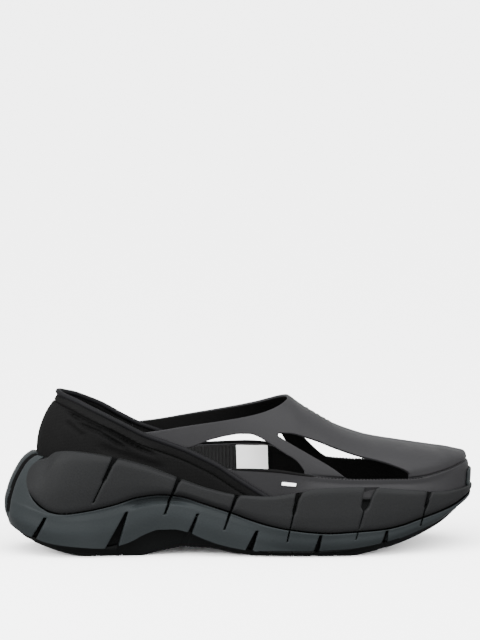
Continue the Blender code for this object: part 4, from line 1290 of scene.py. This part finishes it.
class SNEAKER_OT_outsole(SneakerOperator):
    """Lower tier of the sole: side band with wedges, grooved tread, wrap up the back of the heel"""
    bl_idname = "sneaker.outsole"
    bl_label = "Outsole"

    def build(self, sole, upper, trim, stage):
        slots = [(notch, notch_outline(notch)) for notch in SIDE_NOTCHES]
        wedges = [(notch, notch_outline(notch, WEDGE_BELOW)) for notch in EDGE_NOTCHES]
        tier = beyond([(tier_outline(), 0)])
        sheet, cuts = notched_sheet(
            OUTSOLE_RUNS, tier, sole.tier_gap, OUTSOLE_EDGE_ROWS, slots + wedges)
        for row in (0.0, -GROOVE_WALL):
            sheet.cut(tread_grooves, row)
        for row in np.linspace(-HEEL_SPINE - SPINE_SPREAD, -HEEL_SPINE + SPINE_SPREAD, SPINE_ROWS):
            sheet.cut(lambda points: -np.abs(points[:, 1]), row)
        sheet.settle()
        points = self.side_form(sheet, tier(sheet.points), cuts(sheet.points))
        for notch, polygon in slots:
            points = press_in(points, notch, polygon, sole.slot_depth + SCOOP_DEPTH)
        for notch, polygon in wedges:
            points = press_in(points, notch, polygon, sole.wedge_depth)
        groove = smooth(-tread_grooves(sheet.points) / GROOVE_WALL) * (sheet.spots[:, 1] < UNDERSIDE)
        points[:, 2] += groove * TREAD_GROOVE_DEPTH
        points, faces, marks = sheet.flange(points, self.face_marks(sheet, cuts(sheet.points)))
        rubber = finish("outsole rubber", sole.rubber)
        # Painted shade: the near-black for notches, grooves and edges, and the tread's darker rubber
        black = finish("notch painted shade", sole.notch)
        tread_painted_shade = finish("tread rubber painted shade", sole.tread)
        item = mesh_piece("outsole_rubber", points, faces, rubber, black, tread_painted_shade, marks=marks)
        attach(item, "root")
        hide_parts("outsole")

    def side_form(self, sheet, edge, cut):
        """The points of the lower tier, with its lips, scooped band, undercut, lean and heel strip."""
        level = sheet.spots[:, 1]
        fall = lip(edge, *OUTSOLE_LIP) * lobe_softness(sheet.points) * (1.0 - arch_share(sheet.points))
        fall += lip(cut, *WEDGE_LIP)
        fall += heel_spine_fall(sheet.points) + scoop_fall(sheet.points, level)
        fall += UNDERCUT * smooth((1.0 - level) / UNDERCUT_RISE) * smooth(level / UNDERCUT_FOOT)
        lean = front_lean(sheet.points, edge) * smooth(level / UNDERCUT_FOOT)
        points = sheet.points - sheet.normals * fall[:, None]
        return points - sheet.normals * (1.0, 1.0, 0.0) * lean[:, None]

    def face_marks(self, sheet, cut):
        """Numbers the faces: near-black painted shade in notches, the heel's grooves and the line at
        the lower edge, and the tread's darker painted shade below that line.
        """
        level = sheet.spots[:, 1]
        # Painted shade: faces deep in the notches and wedges get the near-black material
        marks = np.where(every(sheet, cut < -IN_NOTCH), PAINTED_SHADE, 0)
        # Painted shadow line along the lower edge, and painted shade on the underside below it
        marks[every(sheet, level < SHADE_LINE_TO)] = PAINTED_SHADE
        marks[every(sheet, level < SHADE_LINE_FROM)] = THIRD
        # Painted shade at the bottom of the two heel grooves
        away = np.abs(sheet.points[:, 1]) - HEEL_SPINE + SPINE_SHADE_SHIFT
        groove = (np.abs(away) < SPINE_SHADE) & (level < LEDGE_LEVEL)
        groove &= (sheet.points[:, 2] > SPINE_SHADE_FOOT) & (sheet.points[:, 0] < place(SPINE_ALONG))
        marks[every(sheet, groove)] = PAINTED_SHADE
        return marks


class SNEAKER_OT_midsole(SneakerOperator):
    """Upper tier of the sole: pillow blocks with slots between them and the round heel lobe"""
    bl_idname = "sneaker.midsole"
    bl_label = "Midsole blocks"

    def build(self, sole, upper, trim, stage):
        slots = [(notch, notch_outline(notch)) for notch in SIDE_NOTCHES]
        inside = toward_inside(tier_outline())
        sheet, cuts = notched_sheet(MIDSOLE_RUNS, inside, sole.tier_gap, MIDSOLE_EDGE_ROWS, slots)
        sheet.settle()
        edge, cut = inside(sheet.points), cuts(sheet.points)
        fall = lip(edge, sole.pillow_reach, sole.pillow_fall) + lip(edge, *MIDSOLE_LIP)
        fall = np.maximum(fall * lobe_softness(sheet.points), lip(cut, *SLOT_LIP))
        points = sheet.points - sheet.normals * fall[:, None]
        for notch, polygon in slots:
            wide = notch.top_width > WIDE_SLOT
            depth = WIDE_SLOT_DEPTH if wide else sole.slot_depth
            points = press_in(points, notch, polygon, depth, WIDE_SLOT_SLOPE if wide else 0.0)
        narrow = beyond([(polygon, 0) for notch, polygon in slots if notch.top_width < WIDE_SLOT])
        height = sheet.points[:, 2] / HEEL_STACK
        # Painted light: the wide slot's bottom above its line gets the cage's lighter colour; painted
        # shade: below it and in the narrow slots, near black
        marks = np.where(every(sheet, (cut < -IN_NOTCH) & (height > WIDE_SLOT_SHADE_BELOW)), THIRD, 0)
        marks[every(sheet, (cut < -IN_NOTCH) & (height < WIDE_SLOT_SHADE_BELOW))] = PAINTED_SHADE
        marks[every(sheet, narrow(sheet.points) < -IN_NOTCH)] = PAINTED_SHADE
        points, faces, marks = sheet.flange(points, marks)
        foam = finish("midsole foam", sole.foam)
        # The slot material is painted shade; the slot wall, in the cage's lighter colour, is painted
        # light
        black = finish("slot painted shade", sole.notch)
        wall = finish("slot wall painted light", upper.cage)
        item = mesh_piece("midsole_blocks", points, faces, foam, black, wall, marks=marks)
        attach(item, "root")
        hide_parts("midsole")


class SNEAKER_OT_upper(SneakerOperator):
    """Moulded upper: the cage with its openings and struts, and the rim that it grows out of"""
    bl_idname = "sneaker.upper"
    bl_label = "Cage and rim"

    def build(self, sole, upper, trim, stage):
        shell = finish("cage shell", upper.cage)
        lining = finish("cage inside", upper.inside)
        cage = self.cage(upper, shell, lining)
        rim = self.rim(upper, shell, lining)
        for item in (cage, rim):
            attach(item, "root")
            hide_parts("upper")

    def cage(self, upper, shell, lining):
        sheet = Sheet(last_point, around(UPPER_COLUMNS), levels(CAGE_RUNS))
        collar = side_line(COLLAR_EDGE, INSTEP_HEIGHT, ARM_END, COLLAR_EDGE[-1].along)
        high, behind = INSTEP_HEIGHT * COLLAR_CUT_HIGH, place(COLLAR_CUT_BEHIND)
        corners = [(collar[-1, 0], high), (behind, high), (behind, 0.0), (collar[0, 0], 0.0)]
        holes = beyond([
            (np.concatenate([collar, corners]), 0),
            (opening(REAR_OPENING, None, 0.0), -1.0),
            (opening(FRONT_OPENING_TOP, FRONT_OPENING_STRUT, 0.0), -1.0),
            (opening(MEDIAL_REAR_OPENING, None, MEDIAL_WALL_RISE), 1.0),
            (opening(MEDIAL_OPENING_TOP, MEDIAL_OPENING_STRUT, MEDIAL_WALL_RISE), 1.0),
        ])
        sheet.cut(holes, 0.0, keep=1)
        for row in CAGE_EDGE_ROWS:
            sheet.cut(holes, row * upper.edge_radius)
        sheet.settle()
        half = edge_half(holes(sheet.points), CAGE_WALL, upper.edge_radius)
        swell = self.toe_form(sheet.points)
        points, faces = sheet.shell(half - 0.5 * CAGE_WALL + swell, -half - 0.5 * CAGE_WALL)
        marks = inner_faces(sheet, holes, faces)
        return mesh_piece("cage_shell", points, faces, shell, lining, marks=marks)

    def toe_form(self, points):
        """The soft ridge round the toe box, the dip at the seam and the plain ribs on the vamp."""
        line = [(place(along), height) for along, height in TOE_RIDGE]
        ridge = bump_line(points, line, TOE_RIDGE_WIDTH, -TOE_RIDGE_HEIGHT)
        along = share_of(points)
        above_seam = points[:, 2] - seam_share(along) * SEAM_HEIGHT
        near_toe = smooth((points[:, 0] - place(SEAM_DIP_FROM)) / SEAM_DIP_BLEND)
        dip = SEAM_DIP * np.exp(-((above_seam - SEAM_DIP_ABOVE) / SEAM_DIP_WIDTH) ** 2) * near_toe
        window = smooth((along - RIBS_FROM) / RIB_BLEND) * smooth((RIBS_TO - along) / RIB_BLEND)
        away = np.abs(points[:, 1] - sole_centre(along) * BALL_WIDTH)
        window *= smooth((RIB_REACH - away) / RIB_SIDE_BLEND)
        ribs = RIB_HEIGHT * np.cos(2.0 * math.pi * points[:, 0] / RIB_PITCH) * window
        return ridge - dip + ribs

    def rim(self, upper, shell, lining):
        sheet = Sheet(last_point, around(UPPER_COLUMNS), levels(RIM_RUNS))

        def below(points):
            return rim_top(points) - points[:, 2]

        sheet.cut(below, 0.0, keep=1)
        for row in RIM_EDGE_ROWS:
            sheet.cut(below, row * upper.rim_radius)
        sheet.settle()
        wall = CAGE_WALL + RIM_STEP
        half = edge_half(below(sheet.points), wall, upper.rim_radius)
        middle = RIM_STEP - 0.5 * wall
        points, faces = sheet.shell(middle + half + rim_flare(sheet.points), middle - half)
        marks = inner_faces(sheet, below, faces)
        return mesh_piece("rim_band", points, faces, shell, lining, marks=marks)


class SNEAKER_OT_sleeve(SneakerOperator):
    """Textile heel sleeve with its folds and hem, and the rolled binding along its collar"""
    bl_idname = "sneaker.sleeve"
    bl_label = "Heel sleeve and binding"

    def build(self, sole, upper, trim, stage):
        self.sleeve(upper)
        self.binding(upper)

    def sleeve(self, upper):
        columns = around(SLEEVE_COLUMNS)
        columns = columns[(columns < SLEEVE_TURN) | (columns > 2.0 * math.pi - SLEEVE_TURN)]
        sheet = Sheet(last_point, columns, levels(SLEEVE_RUNS))
        lowered = -SLEEVE_LOWERED * BINDING_RADIUS * COLLAR_SLOPE
        line = side_line(SLEEVE_TOP, HEEL_HEIGHT, 0.0, TAIL_END, lowered)
        line[0, 0] -= FAR
        polygon = np.concatenate([line, [(line[-1, 0], 0.0), (line[0, 0], 0.0)]])
        inside = toward_inside(polygon)
        # No face spans the front of the shoe, where the sleeve has no columns
        sheet.faces = sheet.faces[np.ptp(sheet.spots[sheet.faces][:, :, 0], axis=1) < SLEEVE_TURN]
        sheet.cut(inside, 0.0, keep=1)
        for row in SLEEVE_ROWS:
            sheet.cut(inside, row)
        lines = [np.array([(place(along), height * HEEL_HEIGHT) for along, height in fold.line])
                 for fold in SLEEVE_FOLDS]
        for fold, line in zip(SLEEVE_FOLDS, lines):
            for row in (FOLD_MIDDLE / fold.width, *FOLD_ROWS):
                sheet.cut(lambda points: toward(points[:, ::2], line, closed=False), row * fold.width)
        sheet.settle()
        wall = edge_half(inside(sheet.points), SLEEVE_WALL, 0.5 * SLEEVE_WALL)
        middle = 0.5 * (SLEEVE_INNER + SLEEVE_OUTER)
        swell = np.zeros(len(sheet.points))
        for fold, line in zip(SLEEVE_FOLDS, lines):
            drop, lift = fold.drop * upper.fold_depth, fold.lift * upper.fold_depth
            swell += bump_line(sheet.points, line, fold.width, drop, lift)
        hem = inside(sheet.points) - HEM_WIDTH
        swell -= HEM_DEPTH * np.exp(-(hem / HEM_TROUGH) ** 2)
        swell += HEM_PROUD * smooth(-hem / HEM_PROUD_BLEND)
        cover = tuck(sheet.points) * smooth(inside(sheet.points) / TUCK_EDGE)
        points, faces = sheet.shell(middle + wall + swell, middle - wall + INNER_SWELL * swell - cover)
        cloth = finish("sleeve textile", upper.cloth)
        item = mesh_piece("sleeve_cloth", points, faces, cloth)
        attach(item, "root")
        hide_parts("heel_sleeve")

    def binding(self, upper):
        line = follow(SLEEVE_TOP)
        middle = SLEEVE_INNER + BINDING_RADIUS - BINDING_SINK
        reach = math.acos(1.0 - 2.0 * TAIL_END)
        theta = np.linspace(-reach, reach, BINDING_POINTS)

        def aim(point):
            return line(share_of(point)) * HEEL_HEIGHT - BINDING_RADIUS * COLLAR_SLOPE

        level = climb(theta, aim)
        edge = last_point(theta, level)
        back = BINDING_BACK * smooth((BINDING_BACK_TO - share_of(edge)) / BINDING_BACK_BLEND)
        path = last_at(theta, level, middle + back - tuck(edge))[0]
        sole_top = sole_top_share(share_of(path)) * HEEL_STACK
        path = path[path[:, 2] > sole_top - BINDING_RADIUS]
        points, faces = tube(path, BINDING_RADIUS, BINDING_SIDES)
        tape = finish("binding tape", upper.tape)
        item = mesh_piece("collar_piping", points, faces, tape)
        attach(item, "root")
        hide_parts("collar_binding")


class SNEAKER_OT_insole(SneakerOperator):
    """Insole, a little dished, with a rounded top edge"""
    bl_idname = "sneaker.insole"
    bl_label = "Insole"

    def build(self, sole, upper, trim, stage):
        def surface(theta, level):
            edge = last_at(theta, 0.0, -CAGE_WALL - INSOLE_CLEARANCE)[0]
            middle = edge.copy()
            middle[..., 1] = sole_centre(share_of(edge)) * BALL_WIDTH
            share = np.clip(level, 0.0, 1.0)
            down = np.clip(level - 1.0, 0.0, 1.0)
            point = middle + (edge - middle) * share[..., None]
            point[..., 2] = edge[..., 2] + GAP + INSOLE_THICKNESS * (1.0 - down)
            rounded = INSOLE_EDGE_FALL * smooth((share - INSOLE_EDGE_FROM) / INSOLE_EDGE_BLEND)
            point[..., 2] -= INSOLE_DISH * (1.0 - share ** 2) + rounded
            return point

        sheet = Sheet(surface, around(INSOLE_COLUMNS), levels(INSOLE_RUNS))
        sheet.settle()
        cover = finish("insole textile", trim.lining)
        item = mesh_piece("insole_pad", sheet.points, sheet.faces, cover)
        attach(item, "root")
        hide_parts("insole")


class SNEAKER_OT_toe_tab(SneakerOperator):
    """Rubber tab that wraps up over the rim at the tip of the toe"""
    bl_idname = "sneaker.toe_tab"
    bl_label = "Toe tab"

    def build(self, sole, upper, trim, stage):
        middle = float(sole_centre(1.0)) * BALL_WIDTH
        foot = float(sole_top_share(1.0)) * HEEL_STACK - TAB_BELOW
        head = foot + TOE_TAB_HEIGHT + TAB_BELOW + GAP
        half = 0.5 * TOE_TAB_WIDTH - TAB_CORNER

        def inside(points):
            past = np.abs(points[:, 1] - middle) - half
            over = np.abs(points[:, 2] - 0.5 * (foot + head)) - 0.5 * (head - foot) + TAB_CORNER
            corner = np.hypot(np.maximum(past, 0.0), np.maximum(over, 0.0))
            return TAB_CORNER - corner - np.minimum(np.maximum(past, over), 0.0)

        columns = math.pi + np.linspace(-TAB_TURN, TAB_TURN, TAB_COLUMNS)
        sheet = Sheet(last_point, columns, levels(TAB_RUNS))
        sheet.cut(inside, 0.0, keep=1)
        for row in TAB_EDGE_ROWS:
            sheet.cut(inside, row)
        sheet.settle()
        wall = edge_half(inside(sheet.points), TOE_TAB_WALL, 0.5 * TOE_TAB_WALL)
        out = RIM_STEP + TAB_PROUD - 0.5 * TOE_TAB_WALL + rim_flare(sheet.points)
        points, faces = sheet.shell(out + wall, out - wall)
        rubber = finish("toe tab rubber", sole.rubber)
        item = mesh_piece("toe_tab_rubber", points, faces, rubber)
        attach(item, "root")
        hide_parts("toe_tab")


class SNEAKER_OT_trim(SneakerOperator):
    """Stitches and cord along the rim, bar tack, blank label and ribbed lining"""
    bl_idname = "sneaker.trim"
    bl_label = "Label, lining and threads"

    def build(self, sole, upper, trim, stage):
        thread = finish("black thread", trim.thread)
        white = finish("label tape", trim.label)
        lining = finish("ribbed lining", trim.lining)
        self.stitches(trim, thread)
        self.cord("rim_cord", thread, CORD_FROM, CORD_TO, -1.0, CORD_DROP)
        self.cord("wall_cord", thread, WALL_CORD_FROM, WALL_CORD_TO, 1.0, WALL_CORD_DROP)
        self.patch("bar_tack", TACK, -1.0, TACK_OUT, TACK_WALL, "cage_shell", white,
                   lambda x: TACK_RELIEF * np.cos(x * 2.0 * math.pi / TACK_PITCH))
        self.patch("blank_label", LABEL, 1.0, LABEL_OUT, LABEL_WALL, "label_tape", white,
                   lambda x: LABEL_RELIEF * np.cos((x - place(LABEL[0][0])) * LABEL_TURN))
        self.patch("ribbed_lining", LINING, 1.0, LINING_OUT, LINING_WALL, "sleeve_textile", lining,
                   lambda x: LINING_RELIEF * np.cos(x * 2.0 * math.pi / LINING_RIB))

    def patch(self, name, corners, side, offset, wall, slot, material, relief):
        """A thin piece on one side of the last, cut to four side-view corners."""
        polygon = np.array([(place(along), height * HEEL_STACK) for along, height in corners])
        inside = toward_inside(polygon)
        along = share_of(polygon)
        first, last = np.min(along) - PATCH_MARGIN, np.max(along) + PATCH_MARGIN
        theta = np.linspace(turn(first), turn(last), PATCH_COLUMNS)
        theta = theta if side < 0.0 else 2.0 * math.pi - theta[::-1]
        sheet = Sheet(last_point, theta, levels(PATCH_RUNS))
        sheet.cut(inside, 0.0, keep=1)
        sheet.settle()
        swell = relief(sheet.points[:, 0])
        points, faces = sheet.shell(offset + wall + swell, offset + swell)
        item = mesh_piece(name, points, faces, material)
        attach(item, "root")

    def rim_line(self, start, end, drop, out, side, count):
        """Points along the rim, below its top edge and out from the last."""
        theta = turn(np.linspace(start, end, count)) * -side
        return last_at(theta, climb(theta, lambda point: rim_top(point) - drop), out)[0]

    def stitches(self, trim, thread):
        """A row of short threads along the rim, on both sides."""
        parts = []
        for side in (-1.0, 1.0):
            out = RIM_STEP - STITCH_RADIUS
            path = self.rim_line(STITCH_FROM, STITCH_TO, STITCH_DROP, out, side, STITCH_POINTS)
            gone = np.concatenate([[0.0], np.cumsum(np.linalg.norm(np.diff(path, axis=0), axis=1))])
            for start in np.arange(0.0, gone[-1] - trim.stitch_length, trim.stitch_pitch):
                reach = start + trim.stitch_length * np.linspace(0.0, 1.0, len(STITCH_SHAPE))
                dash = np.stack([np.interp(reach, gone, path[:, i]) for i in range(3)], axis=-1)
                parts.append(tube(dash, STITCH_RADIUS * STITCH_SHAPE, STITCH_SIDES))
        points, faces = joined(parts)
        item = mesh_piece("rim_stitches", points, faces, thread)
        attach(item, "root")

    def cord(self, name, thread, start, end, side, drop):
        """A thin cord along the rim that tapers at both ends."""
        path = self.rim_line(start, end, drop, 0.0, side, CORD_POINTS)
        taper = np.sin(np.linspace(CORD_TIP, math.pi - CORD_TIP, CORD_POINTS)) ** CORD_TAPER
        points, faces = tube(path, CORD_RADIUS * taper, CORD_SIDES)
        item = mesh_piece(name, points, faces, thread)
        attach(item, "root")


class SNEAKER_OT_stage(SneakerOperator):
    """Pale floor, soft studio lights, and the camera at the photograph's angle"""
    bl_idname = "sneaker.stage"
    bl_label = "Stage, lights and camera"

    def build(self, sole, upper, trim, stage):
        scene = bpy.context.scene
        bpy.ops.mesh.primitive_plane_add(size=FLOOR_SIZE)
        floor = bpy.context.object
        floor.name = "floor"
        material = bpy.data.materials.new("floor paper")
        material.use_nodes = True
        surface = material.node_tree.nodes["Principled BSDF"]
        surface.inputs["Base Color"].default_value = (*stage.floor, 1.0)
        surface.inputs["Roughness"].default_value = FLOOR_ROUGHNESS
        surface.inputs["Specular IOR Level"].default_value = FLOOR_SHINE
        floor.data.materials.append(material)
        floor.visible_diffuse = False
        floor.visible_glossy = False
        world = bpy.data.worlds.new("studio")
        world.use_nodes = True
        background = world.node_tree.nodes["Background"]
        background.inputs["Color"].default_value = (1.0, 1.0, 1.0, 1.0)
        background.inputs["Strength"].default_value = WORLD_STRENGTH
        scene.world = world
        for sun in SUNS:
            data = bpy.data.lights.new(sun.name, "SUN")
            data.energy, data.angle = sun.strength, sun.spread
            self.aimed(scene, sun.name, data, (0.0, 0.0, 0.0), -Vector(sun.toward))
        for light in LIGHTS:
            data = bpy.data.lights.new(light.name, "AREA")
            data.shape = "RECTANGLE"
            data.size, data.size_y = light.width, light.depth
            data.energy = light.power
            self.aimed(scene, light.name, data, light.place, Vector(light.aim) - Vector(light.place))
        data = bpy.data.cameras.new("photo camera")
        data.sensor_fit = "VERTICAL"
        data.sensor_height = SENSOR_HEIGHT
        data.lens = CAMERA_LENS
        data.clip_end = 2.0 * FLOOR_SIZE
        across, fall = stage.camera_turn, stage.camera_rise
        look = (math.sin(across) * math.cos(fall), math.cos(across) * math.cos(fall), -math.sin(fall))
        look = Vector(look)
        stand = Vector(CAMERA_AIM) - look * stage.camera_distance
        scene.camera = self.aimed(scene, "photo camera", data, stand, look)

    def aimed(self, scene, name, data, spot, look):
        """A new light or camera in the scene, at a spot, that looks along a direction."""
        item = bpy.data.objects.new(name, data)
        item.location = spot
        item.rotation_euler = look.to_track_quat("-Z", "Y").to_euler()
        scene.collection.objects.link(item)
        return item


OPERATORS = (
    SNEAKER_OT_outsole, SNEAKER_OT_midsole, SNEAKER_OT_upper, SNEAKER_OT_sleeve,
    SNEAKER_OT_insole, SNEAKER_OT_toe_tab, SNEAKER_OT_trim, SNEAKER_OT_stage,
)


class SNEAKER_PT_panel(bpy.types.Panel):
    """Lists the settings and the operators in the order in which they run"""
    bl_idname = "SNEAKER_PT_panel"
    bl_label = "Slip-on sneaker"
    bl_space_type = "VIEW_3D"
    bl_region_type = "UI"
    bl_category = "Sneaker"

    def draw(self, context):
        layout = self.layout
        for name in GROUPS:
            box = layout.box()
            group = getattr(context.scene, name)
            for setting in group.__annotations__:
                box.prop(group, setting)
        for operator in OPERATORS:
            layout.operator(operator.bl_idname)


GROUPS = {
    "sneaker_sole": SneakerSole, "sneaker_upper": SneakerUpper,
    "sneaker_trim": SneakerTrim, "sneaker_stage": SneakerStage,
}


def register():
    for group in GROUPS.values():
        bpy.utils.register_class(group)
    for name, group in GROUPS.items():
        setattr(bpy.types.Scene, name, bpy.props.PointerProperty(type=group))
    for operator in OPERATORS:
        bpy.utils.register_class(operator)
    bpy.utils.register_class(SNEAKER_PT_panel)


def unregister():
    bpy.utils.unregister_class(SNEAKER_PT_panel)
    for operator in reversed(OPERATORS):
        bpy.utils.unregister_class(operator)
    for name in GROUPS:
        delattr(bpy.types.Scene, name)
    for group in reversed(tuple(GROUPS.values())):
        bpy.utils.unregister_class(group)


def main():
    register()
    bpy.ops.sneaker.outsole()
    bpy.ops.sneaker.midsole()
    bpy.ops.sneaker.upper()
    bpy.ops.sneaker.sleeve()
    bpy.ops.sneaker.insole()
    bpy.ops.sneaker.toe_tab()
    bpy.ops.sneaker.trim()
    bpy.ops.sneaker.stage()


if __name__ == "__main__":
    main()
